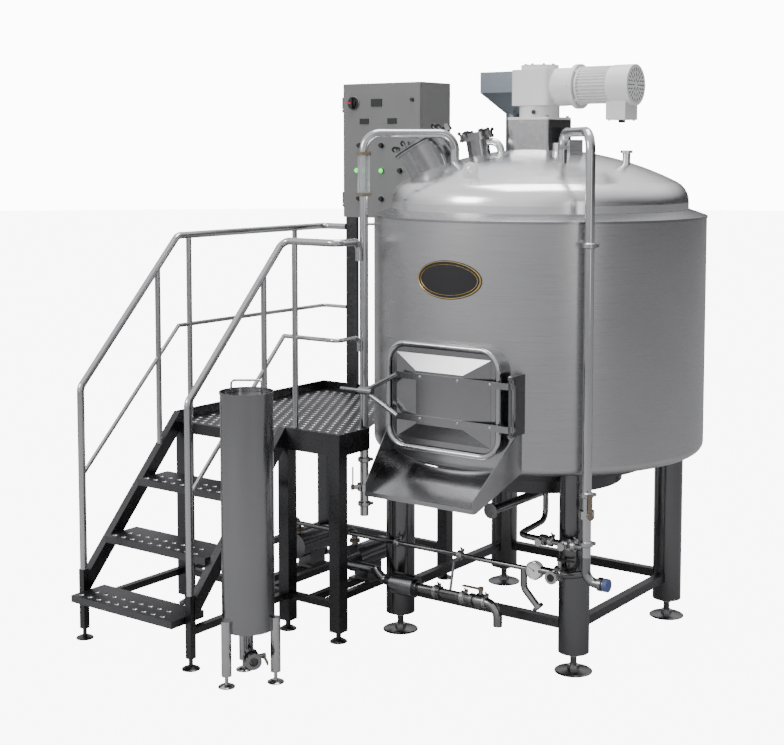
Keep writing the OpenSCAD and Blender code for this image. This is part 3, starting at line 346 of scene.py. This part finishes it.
WHITE_PAINT = coated("white_drive_paint", (0.80, 0.80, 0.79), 0.42)
GREY_PAINT = coated("panel_powder_coat", (0.17, 0.17, 0.17), 0.42, 0.2)
HOPPER_STEEL = stainless("hopper_sheet", (0.15, 0.17, 0.19), 0.34, (40, 40, 40), 0.1, 0.1)
BLACK_PLASTIC = coated("black_plastic", (0.012, 0.012, 0.013), 0.38)
BLACK_GLOSS = coated("black_enamel", (0.008, 0.008, 0.009), 0.38)
RED_PLASTIC = coated("red_handle", (0.55, 0.02, 0.015), 0.35)
GREEN_LENS = coated("green_lens", (0.01, 0.55, 0.06), 0.18)
GREEN_LENS.node_tree.nodes["Principled BSDF"].inputs["Emission Color"].default_value = (0.02, 1.0, 0.08, 1)
GREEN_LENS.node_tree.nodes["Principled BSDF"].inputs["Emission Strength"].default_value = 2.0
BLUE_CAP = coated("blue_cap", (0.07, 0.10, 0.26), 0.45)
TAN_GRIP = coated("lever_grip", (0.17, 0.135, 0.095), 0.45)
RUBBER = coated("dark_gasket", (0.03, 0.03, 0.032), 0.7, 0.3)
BRASS = coated("gilt_rim", (0.62, 0.44, 0.16), 0.3, 0.1, 0.06, 1.0)
DIAL = coated("dial_face", (0.86, 0.86, 0.84), 0.5, 0.02)
GLASS = coated("tube_glass", (0.86, 0.90, 0.91), 0.06, 0.02)
GLASS.node_tree.nodes["Principled BSDF"].inputs["Transmission Weight"].default_value = 0.75
GLASS.node_tree.nodes["Principled BSDF"].inputs["IOR"].default_value = 1.3
HOLE_DARK = coated("hole_shadow", (0.015, 0.015, 0.016), 0.8)
print("paints and plastics ready")

# %% [markdown]
# Each part of the frame takes one of these finishes.

# %% Dress the frame
FINISH = {
    CLADDING: ["jacket_over_door", "jacket_under_door", "jacket_right", "jacket_back", "jacket_left"],
    DOME_STEEL: ["dome_roof", "dome_fittings"],
    RING_STEEL: ["shoulder_ring"],
    NECK_STEEL: ["manway_collar", "manway_lid", "sight_port", "pedestal"],
    TUBE_STEEL: ["cip_pipe_left", "cip_pipe_right", "handrail_left", "handrail_right", "grant_legs",
                 "grant_lid", "door_collar"],
    # Painted shade: the low pipework gets the darker copy of the polished tube.
    LOW_TUBE_STEEL: ["grant_outlet", "wort_line", "header_line", "cip_end_valve", "drain_pipe"],
    # Painted shade: the legs' very dark base.
    LEG_STEEL: ["tank_legs"],
    ARM_STEEL: ["door_hinge", "pump_left", "pump_right"],
    GRANT_STEEL: ["grant_body"],
    DOOR_STEEL: ["rake_door_cover", "rake_door_arms", "discharge_chute"],
    # Painted shade: these parts take the nearly black framing steel.
    DULL_STEEL: ["vessel_bottom", "leg_rails", "platform_edge", "platform_legs", "low_frame",
                 "stair_strings", "panel_stand"],
    TREAD_STEEL: ["platform_deck", "tread_1", "tread_2", "tread_3"],
    WHITE_PAINT: ["gearbox", "gear_motor"],
    HOPPER_STEEL: ["grist_hopper"],
    GREY_PAINT: ["panel_box", "panel_door"],
    BLACK_PLASTIC: ["panel_controls", "isolator_knob"],
    BLACK_GLOSS: ["name_plate"],
    GLASS: ["sight_glass"],
    TAN_GRIP: ["grant_lever", "wort_lever", "cip_lever", "cip_lever_left", "pipe_clamps"],
    BLUE_CAP: ["cip_end_cap"],
    DIAL: ["pressure_gauge"],
}


def dress(node, material):
    mesh = NODES[node].data
    mesh.materials.clear()
    mesh.materials.append(material)


for material, names in FINISH.items():
    for name in names:
        dress(name, material)
undressed = sorted(set(NODES) - {n for names in FINISH.values() for n in names})
print("undressed nodes:", undressed)

# %% [markdown]
# ## Building blocks for small fittings
# Bolts, rings and plates are all made from the same few bmesh operators. Many of them are
# gathered in one mesh, so that a whole family of fittings is a single piece.

# %% Mesh helpers
def frame_at(place, axis):
    return Matrix.Translation(place) @ Vector(axis).to_track_quat("Z", "Y").to_matrix().to_4x4()


def drum(bm, place, axis, radius, depth, sides=24, top=None):
    """A round bar or cone whose foot is at place."""
    axis = Vector(axis).normalized()
    bmesh.ops.create_cone(bm, cap_ends=True, segments=sides, radius1=radius,
                          radius2=radius if top is None else top, depth=depth,
                          matrix=frame_at(Vector(place) + axis * depth / 2, axis))


def block(bm, place, size, turn=0.0):
    grow = Matrix.Diagonal((*size, 1))
    spin = Matrix.Rotation(turn, 4, "Z")
    bmesh.ops.create_cube(bm, size=1, matrix=Matrix.Translation(place) @ spin @ grow)


def hoop(bm, place, axis, radius, wire, steps=40, sides=8):
    """A ring of round wire, spun from one small circle."""
    made = bmesh.ops.create_circle(bm, cap_ends=False, segments=sides, radius=wire,
                                   matrix=Matrix.Translation((radius, 0, 0)) @ Matrix.Rotation(math.pi / 2, 4, "X"))
    edges = {e for v in made["verts"] for e in v.link_edges}
    before = set(bm.verts) - set(made["verts"])
    bmesh.ops.spin(bm, geom=list(made["verts"]) + list(edges), cent=(0, 0, 0), axis=(0, 0, 1),
                   dvec=(0, 0, 0), angle=math.tau, steps=steps, use_merge=True, use_duplicate=False)
    spun = [v for v in bm.verts if v not in before]
    bmesh.ops.transform(bm, matrix=frame_at(place, axis), verts=spun)
    return spun


def bolt(bm, place, axis, size=0.008):
    """A hexagon head on a washer."""
    axis = Vector(axis).normalized()
    drum(bm, place, axis, size * 1.35, size * 0.3, 16)
    drum(bm, Vector(place) + axis * size * 0.3, axis, size, size * 0.9, 6, size * 0.92)


def spokes(place, axis, radius, count, start=0.0):
    """Points spaced evenly round a circle."""
    base = frame_at(place, axis)
    for i in range(count):
        a = start + math.tau * i / count
        yield base @ Vector((radius * math.cos(a), radius * math.sin(a), 0))


def piece(name, bm, body, material):
    bmesh.ops.recalc_face_normals(bm, faces=bm.faces)
    mesh = bpy.data.meshes.new(name)
    bm.to_mesh(mesh)
    bm.free()
    made = bpy.data.objects.new(name, mesh)
    bpy.context.scene.collection.objects.link(made)
    mesh.materials.append(material)
    mesh.shade_smooth()
    mesh.set_sharp_from_angle(angle=math.radians(35))
    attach(made, body)
    print("made", name, "with", len(mesh.polygons), "faces")
    return made


def fresh():
    return bmesh.new()


# %% [markdown]
# ## Anti-slip buttons
# The treads and the deck are sheet with rows of punched buttons. Each one is a raised ring
# round a small hole. The deck runs up to the round tank, so buttons that would fall outside
# the sheet are skipped.

# %% Treads and deck
def button_rows(low, high, pitch_x, pitch_y, inset):
    rows = max(1, int((high.y - low.y - 2 * inset) / pitch_y) + 1)
    cols = max(1, int((high.x - low.x - 2 * inset) / pitch_x) + 1)
    for j in range(rows):
        for i in range(cols - j % 2):
            x = low.x + inset + (i + 0.5 * (j % 2)) * pitch_x
            y = low.y + inset + j * pitch_y
            yield x, y


def on_deck(x, y):
    pipe = around_tank(-135, JACKET_R + 0.069, 0)
    off_tank = math.hypot(x - TANK.x, y - TANK.y) > JACKET_R + 0.04 + 0.03
    return off_tank and math.hypot(x - pipe.x, y - pipe.y) > 0.07


def buttons():
    rims = fresh()
    holes = fresh()
    places = []
    for k in (1, 2, 3):
        low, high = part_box("tread_%d" % k)
        places += [(x, y, high.z) for x, y in button_rows(low, high, 0.072, 0.085, 0.042)]
    low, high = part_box("platform_deck")
    places += [(x, y, high.z) for x, y in button_rows(low, high, 0.066, 0.058, 0.05) if on_deck(x, y)]
    for x, y, z in places:
        drum(rims, (x, y, z - 0.0005), UP, 0.018, 0.004, 14, 0.0125)
        drum(holes, (x, y, z + 0.0032), UP, 0.0095, 0.0008, 10)
    piece("button_rims", rims, "plant", BUTTON_STEEL)
    piece("button_holes", holes, "plant", HOLE_DARK)
    print("buttons:", len(places))


buttons()

# %% [markdown]
# ## Agitator drive
# The motor is a squirrel-cage motor with straight cooling fins and a fan cowl. The fins are
# thin blocks set round the body, and the cowl's air slots are dark bars on its end.

# %% Motor fins, cowl and terminal box
def motor_details():
    low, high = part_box("gear_motor")
    top = high.z
    cowl_r = (high.y - low.y) / 2
    centre = Vector((0, (low.y + high.y) / 2, top - cowl_r))
    body_r = cowl_r - 0.017
    start, end = low.x, high.x - 0.124
    fins = fresh()
    for i in range(36):
        a = math.tau * i / 36
        if abs(a - math.tau * 0.75) < 0.5:
            continue
        spot = Vector(((start + end) / 2, centre.y + math.cos(a) * (body_r + 0.006), centre.z + math.sin(a) * (body_r + 0.006)))
        turn = Matrix.Rotation(a, 4, "X")
        bmesh.ops.create_cube(fins, size=1, matrix=Matrix.Translation(spot) @ turn @ Matrix.Diagonal((end - start - 0.03, 0.017, 0.0035, 1)))
    for x in (start + 0.008, end - 0.014):
        drum(fins, (x, centre.y, centre.z), RIGHT, body_r + 0.013, 0.012, 48)
    for spot in spokes((start + 0.002, centre.y, centre.z), RIGHT, cowl_r - 0.004, 4, math.pi / 4):
        bolt(fins, spot, RIGHT, 0.009)
    piece("motor_fins", fins, "plant", WHITE_PAINT)
    slots = fresh()
    for ring_r, count in ((0.03, 8), (0.058, 16), (0.086, 24)):
        for i in range(count):
            a = math.tau * i / count
            spot = Vector((high.x + 0.0005, centre.y + ring_r * math.cos(a), centre.z + ring_r * math.sin(a)))
            bmesh.ops.create_cube(slots, size=1, matrix=Matrix.Translation(spot) @ Matrix.Rotation(a, 4, "X") @ Matrix.Diagonal((0.001, 0.02, 0.005, 1)))
    piece("cowl_slots", slots, "plant", HOLE_DARK)
    extras = fresh()
    for sx in (-0.045, 0.045):
        for sy in (-0.06, 0.06):
            bolt(extras, (end + 0.037 + sx, centre.y + sy, low.z), -UP, 0.005)
    piece("terminal_screws", extras, "plant", BOLT_STEEL)
    gland = fresh()
    drum(gland, (end + 0.055, centre.y - 0.03, low.z), -UP, 0.019, 0.016, 6)
    piece("cable_gland", gland, "plant", BLACK_PLASTIC)


motor_details()

# %% [markdown]
# The gearbox sits on the pedestal's plate and carries the motor on a round flange. Both
# joints are bolted, so hexagon heads stand in a square and in two rings.

# %% Gearbox bolts and the pedestal's flange
def drive_bolts():
    low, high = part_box("gearbox")
    ped_low, ped_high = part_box("pedestal")
    centre = middle("pedestal")
    bm = fresh()
    half = (ped_high.x - ped_low.x) / 2 - 0.02
    for sx in (-1, 1):
        for sy in (-1, 1):
            bolt(bm, (centre.x + sx * half, centre.y + sy * half, ped_high.z + 0.014), UP, 0.009)
    for spot in spokes((centre.x, centre.y, high.z), UP, 0.085, 8):
        bolt(bm, spot, UP, 0.007)
    flange_x = high.x - 0.025
    for spot in spokes((flange_x, centre.y, high.z - 0.028 - 0.10), -RIGHT, 0.112, 6):
        bolt(bm, spot, -RIGHT, 0.008)
    piece("gearbox_bolts", bm, "plant", BOLT_STEEL)
    plug = fresh()
    drum(plug, (centre.x + 0.03, centre.y - 0.1165, ped_high.z + 0.042), FRONT, 0.013, 0.008, 6)
    piece("oil_plug", plug, "plant", BLACK_PLASTIC)


drive_bolts()

# %% [markdown]
# ## Rake door
# Spent grain is raked out through this door. A dark seal shows between the cover and the
# collar, and the arms are riveted to the cover.

# %% Seal, rivets and pin caps
def rounded_loop(width, height, radius, steps=8):
    for quarter in range(4):
        sx = 1 if quarter in (0, 3) else -1
        sz = 1 if quarter < 2 else -1
        for i in range(steps + 1):
            a = math.pi / 2 * (quarter + i / steps)
            yield (sx * (width / 2 - radius) + radius * math.cos(a), sz * (height / 2 - radius) + radius * math.sin(a))


def tube_along(name, points, radius, closed, body, material, sides=3):
    """A curve with a round bevel, made into a mesh."""
    data = bpy.data.curves.new(name, "CURVE")
    data.dimensions = "3D"
    data.bevel_depth = radius
    data.bevel_resolution = sides
    line = data.splines.new("POLY")
    line.points.add(len(points) - 1)
    for point, place in zip(line.points, points):
        point.co = (*place, 1)
    line.use_cyclic_u = closed
    holder = bpy.data.objects.new(name + "_curve", data)
    bpy.context.scene.collection.objects.link(holder)
    mesh = bpy.data.meshes.new_from_object(holder.evaluated_get(bpy.context.evaluated_depsgraph_get()))
    bpy.data.objects.remove(holder)
    made = bpy.data.objects.new(name, mesh)
    bpy.context.scene.collection.objects.link(made)
    mesh.materials.clear()
    mesh.materials.append(material)
    mesh.shade_smooth()
    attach(made, body)
    print("made", name, "along", len(points), "points")
    return made


def door_details():
    low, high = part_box("rake_door_cover")
    centre = (low + high) / 2
    back = high.y - 0.005
    seal = [(centre.x + x, back, centre.z + z)
            for x, z in rounded_loop(high.x - low.x + 0.004, high.z - low.z + 0.004, 0.085)]
    tube_along("door_seal", seal, 0.0035, True, "rake_door", RUBBER)
    arm_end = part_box("rake_door_arms")[1].x
    bm = fresh()
    arm_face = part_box("rake_door_cover")[0].y - 0.008
    for sz in (-1, 1):
        for x in (centre.x - 0.12, centre.x + 0.12, centre.x + 0.322):
            drum(bm, (x, arm_face, centre.z + sz * 0.113), FRONT, 0.009, 0.005, 14, 0.005)
    piece("arm_rivets", bm, "rake_door", BOLT_STEEL)
    caps = fresh()
    hinge_low, hinge_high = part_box("door_hinge")
    pin = Vector((arm_end - 0.016, hinge_low.y + 0.016, 0))
    for z, axis in ((hinge_high.z, UP), (hinge_low.z, -UP)):
        drum(caps, (pin.x, pin.y, z), axis, 0.011, 0.007, 18, 0.007)
    piece("pin_caps", caps, "plant", BOLT_STEEL)


door_details()

# %% [markdown]
# ## Plate on the jacket
# The plate is oval and plain, with a gilt rim. The rim is a hoop squeezed to an oval and
# then bent onto the round jacket by moving each of its points out to the jacket's face.

# %% Gilt rim
def gilt_rim():
    low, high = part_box("name_plate")
    centre = (low + high) / 2
    half = (high.x - low.x) / 2
    bm = fresh()
    for inset, wire in ((0.006, 0.0045), (0.022, 0.0022)):
        verts = hoop(bm, (centre.x, TANK.y, centre.z), FRONT, half - inset, wire, 96, 8)
        squeeze = (high.z - low.z - 2 * inset) / (2 * half - 2 * inset)
        for v in verts:
            v.co.z = centre.z + (v.co.z - centre.z) * squeeze
            across = v.co.x - TANK.x
            v.co.y += -math.sqrt((JACKET_R + 0.005) ** 2 - across ** 2)
    piece("gilt_rim", bm, "plant", BRASS)


gilt_rim()

# %% [markdown]
# ## Fittings on the dome
# The sight port and the manway are drawn shut by rings of black wing nuts, and a dark
# gasket shows under the manway's lid. The nuts stand in a ring round each tilted axis.

# %% Wing nuts and gaskets
def tilted(azimuth, tilt):
    a, t = math.radians(azimuth), math.radians(tilt)
    return Vector((math.sin(t) * math.cos(a), math.sin(t) * math.sin(a), math.cos(t)))


def dome_details():
    nuts = fresh()
    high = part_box("sight_port")[1]
    axis = tilted(221, 10)
    base = around_tank(221, 0.350, 0)
    top = base + Vector((axis.x, axis.y, 0)) * 0.132
    top.z = high.z - math.sin(math.radians(10)) * 0.095
    for spot in spokes(top, axis, 0.084, 6, 0.3):
        drum(nuts, spot - axis * 0.03, axis, 0.012, 0.03, 12)
        for side in (-1, 1):
            ear = spot + axis * 0.004 + Vector((math.cos(1.0), math.sin(1.0), 0)) * side * 0.014
            drum(nuts, ear - Vector((0, 0.003, 0)), (0, 1, 0), 0.011, 0.006, 12)
    piece("port_wing_nuts", nuts, "plant", BLACK_PLASTIC)


def manway_details():
    joints = frame["record"]["behaviour"]["joints"]
    pin = Vector(next(j["pos_m"] for j in joints if j["name"] == "manway_hinge"))
    axis = tilted(207, 29.5)
    outward = tilted(207, 119.5)
    across = axis.cross(outward)
    rim = pin + outward * 0.184 - axis * 0.0138
    gasket = fresh()
    hoop(gasket, rim, axis, 0.1722, 0.004, 64, 6)
    piece("manway_gasket", gasket, "plant", RUBBER)
    knobs = fresh()
    for turn in range(-140, 141, 40):
        a = math.radians(turn)
        spoke = outward * math.cos(a) + across * math.sin(a)
        along = across * math.cos(a) - outward * math.sin(a)
        drum(knobs, rim + spoke * 0.159 + axis * 0.041 - along * 0.0045, along, 0.0175, 0.009, 16)
    piece("manway_knobs", knobs, "manway_lid", BLACK_PLASTIC)


dome_details()
manway_details()

# %% [markdown]
# ## Control panel
# The panel's knobs and screens are in the frame. Here they get lenses and a light
# bezel, and the isolator knob gets a red pointer.

# %% Panel lenses
def panel_details():
    low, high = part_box("panel_door")
    face = low.y
    left = low.x + 0.018
    top = high.z
    lens = fresh()
    for x in (0.119, 0.323):
        drum(lens, (left + x, face - 0.012, top - 0.578), FRONT, 0.016, 0.009, 24, 0.012)
    piece("green_lamps", lens, "panel_door", GREEN_LENS)
    bezel = fresh()
    for x, z in ((0.140, 0.412), (0.323, 0.412), (0.475, 0.578), (0.136, 0.766), (0.323, 0.766),
                 (0.119, 0.578), (0.323, 0.578)):
        hoop(bezel, (left + x, face - 0.002, top - z), FRONT, 0.021, 0.002, 28, 6)
    hoop(bezel, (left + 0.090, face - 0.004, top - 0.130), FRONT, 0.045, 0.0025, 40, 6)
    piece("panel_bezels", bezel, "panel_door", BOLT_STEEL)
    knob_low, knob_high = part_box("isolator_knob")
    knob = (knob_low + knob_high) / 2
    pointer = fresh()
    block(pointer, (knob.x - 0.016, knob_low.y - 0.001, knob.z), (0.036, 0.004, 0.010))
    piece("isolator_pointer", pointer, "isolator", RED_PLASTIC)


panel_details()

# %% [markdown]
# ## Gauge
# A dial gauge closes the header's end: a steel rim, a white face, ticks and a needle.

# %% Dial
def gauge():
    low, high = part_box("pressure_gauge")
    centre = Vector((high.x - (high.z - low.z) / 2, low.y, (low.z + high.z) / 2))
    rim = fresh()
    hoop(rim, centre, FRONT, 0.047, 0.0045, 48, 8)
    piece("gauge_rim", rim, "plant", TUBE_STEEL)
    marks = fresh()
    for i in range(21):
        a = math.radians(225 - 13.5 * i)
        spot = centre + Vector((math.cos(a) * 0.035, -0.0006, math.sin(a) * 0.035))
        length = 0.008 if i % 5 == 0 else 0.004
        bmesh.ops.create_cube(marks, size=1, matrix=Matrix.Translation(spot) @ Matrix.Rotation(-a, 4, "Y") @ Matrix.Diagonal((length, 0.0008, 0.0011, 1)))
    needle = math.radians(150)
    spot = centre + Vector((math.cos(needle) * 0.012, -0.001, math.sin(needle) * 0.012))
    bmesh.ops.create_cube(marks, size=1, matrix=Matrix.Translation(spot) @ Matrix.Rotation(-needle, 4, "Y") @ Matrix.Diagonal((0.036, 0.001, 0.002, 1)))
    drum(marks, centre + FRONT * 0.0005, FRONT, 0.004, 0.002, 16)
    piece("gauge_marks", marks, "plant", BLACK_PLASTIC)


gauge()

# %% [markdown]
# ## Feet
# Each of the tank's feet turns on a threaded stem, and hexagon lock nuts hold its height.
# A drum with six sides makes a nut.

# %% Lock nuts
def foot_nuts():
    bm = fresh()
    half = (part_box("tank_legs")[1].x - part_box("tank_legs")[0].x) / 2 - 0.1025
    for sx in (-1, 1):
        for sy in (-1, 1):
            for z, r in ((0.018, 0.034), (0.088, 0.034)):
                drum(bm, (TANK.x + sx * half, TANK.y + sy * half, z), UP, r, 0.02, 6)
    piece("tank_lock_nuts", bm, "plant", BOLT_STEEL)


foot_nuts()

# %% [markdown]
# ## Sanitary clamps
# Brewery tube is joined with clamps: two flanges, a gasket and a hinged band that a wing
# nut draws tight. Each clamp here is a wide drum with a thinner drum at each side, and a
# small screw beside it. One mesh holds all of them.

# %% Clamps on the tubes
def clamp(bm, place, axis, radius):
    axis = Vector(axis).normalized()
    place = Vector(place)
    drum(bm, place - axis * 0.010, axis, radius + 0.012, 0.020, 28)
    for side in (-1, 1):
        drum(bm, place + axis * side * 0.010, axis * side, radius + 0.009, 0.006, 28, radius + 0.002)
    across = axis.orthogonal().normalized()
    spot = place + across * (radius + 0.017)
    block(bm, spot, (0.016, 0.016, 0.016))
    drum(bm, spot + axis.cross(across) * 0.006, axis.cross(across), 0.005, 0.022, 10)


def tube_clamps():
    bm = fresh()
    tube = 0.0255
    for azimuth in (-135, -45):
        foot = around_tank(azimuth, JACKET_R + 0.069, 0)
        for z in (0.76, 1.02, 2.32):
            if azimuth == -135 and z > 2:
                continue
            clamp(bm, (foot.x, foot.y, z), UP, tube)
    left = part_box("header_line")[0].x
    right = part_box("pressure_gauge")[0].x
    for share in (0.25, 0.5, 0.75):
        clamp(bm, (left + share * (right - left), TANK.y - 0.690, 0.553), RIGHT, 0.016)
    low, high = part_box("wort_line")
    for share in (0.62, 0.78, 0.9):
        clamp(bm, (low.x + share * (high.x - low.x), TANK.y - 0.739, 0.335), RIGHT, 0.0255)
    piece("tube_clamps", bm, "plant", BOLT_STEEL)


tube_clamps()

# %% [markdown]
# ## Bypass by the front right leg
# A short cross tube runs from the gauge to the cleaning pipe's end, and a thinner one comes
# down from the vessel's drain. A tube that turns corners is a line of points with an arc at
# each corner. A round bevel along the line gives the tube, and it is turned into a mesh.

# %% Rounded tube runs
def with_bends(points, bend, steps=8):
    """The same line with an arc at each corner."""
    points = [Vector(p) for p in points]
    out = [points[0]]
    for before, corner, after in zip(points, points[1:], points[2:]):
        into, away = (before - corner).normalized(), (after - corner).normalized()
        reach = min(bend, (before - corner).length * 0.45, (after - corner).length * 0.45)
        start, stop = corner + into * reach, corner + away * reach
        for i in range(steps + 1):
            t = i / steps
            out.append(start * (1 - t) ** 2 + corner * 2 * t * (1 - t) + stop * t ** 2)
    out.append(points[-1])
    return out


def bypass():
    start = Vector((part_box("pressure_gauge")[1].x - 0.02, TANK.y - 0.690, 0.560))
    end = Vector((TANK.x + 0.728, TANK.y - 0.715, 0.600))
    # Painted shade: both tubes take the darker copy of the polished tube.
    tube_along("cross_tube", with_bends([start, (end.x - 0.12, start.y, 0.560), (end.x, end.y, 0.600)], 0.05),
               0.0215, False, "plant", LOW_TUBE_STEEL, 6)
    feed = [Vector((TANK.x + x, TANK.y + y, z)) for x, y, z in
            ((0.26, -0.34, 0.905), (0.26, -0.34, 0.735), (0.30, -0.70, 0.735), (0.71, -0.73, 0.735))]
    tube_along("bypass_tube", with_bends(feed, 0.07), 0.0165, False, "plant", LOW_TUBE_STEEL, 6)
    bm = fresh()
    valve = Vector((start.x + 0.12, start.y, 0.560))
    drum(bm, valve - RIGHT * 0.022, RIGHT, 0.041, 0.044, 28)
    drum(bm, valve, FRONT, 0.024, 0.085, 24)
    drum(bm, valve + FRONT * 0.085, FRONT, 0.036, 0.012, 24)
    drum(bm, valve, UP, 0.012, 0.07, 16)
    for share in (0.40, 0.75):
        spot = feed[2].lerp(feed[3], share)
        drum(bm, spot - RIGHT * 0.016, RIGHT, 0.030, 0.032, 24)
        drum(bm, spot, FRONT, 0.013, 0.050, 16)
        drum(bm, spot + FRONT * 0.050, FRONT, 0.021, 0.014, 16)
        clamp(bm, spot + RIGHT * 0.045, RIGHT, 0.0165)
    piece("bypass_valves", bm, "plant", BOLT_STEEL)
    dark = fresh()
    # Painted shade: the thin black disc on the outlet's end stands in for the shade inside the open bore; the stem and
    # the lever below are the real handle.
    drum(dark, valve + FRONT * 0.0972, FRONT, 0.021, 0.001, 24)
    drum(dark, valve + UP * 0.07, UP, 0.016, 0.012, 16)
    block(dark, valve + UP * 0.078 + RIGHT * 0.045, (0.09, 0.018, 0.007))
    piece("bypass_handles_and_bore_shade", dark, "plant", BLACK_PLASTIC)


bypass()

# %% [markdown]
# ## Finish


print("script done")
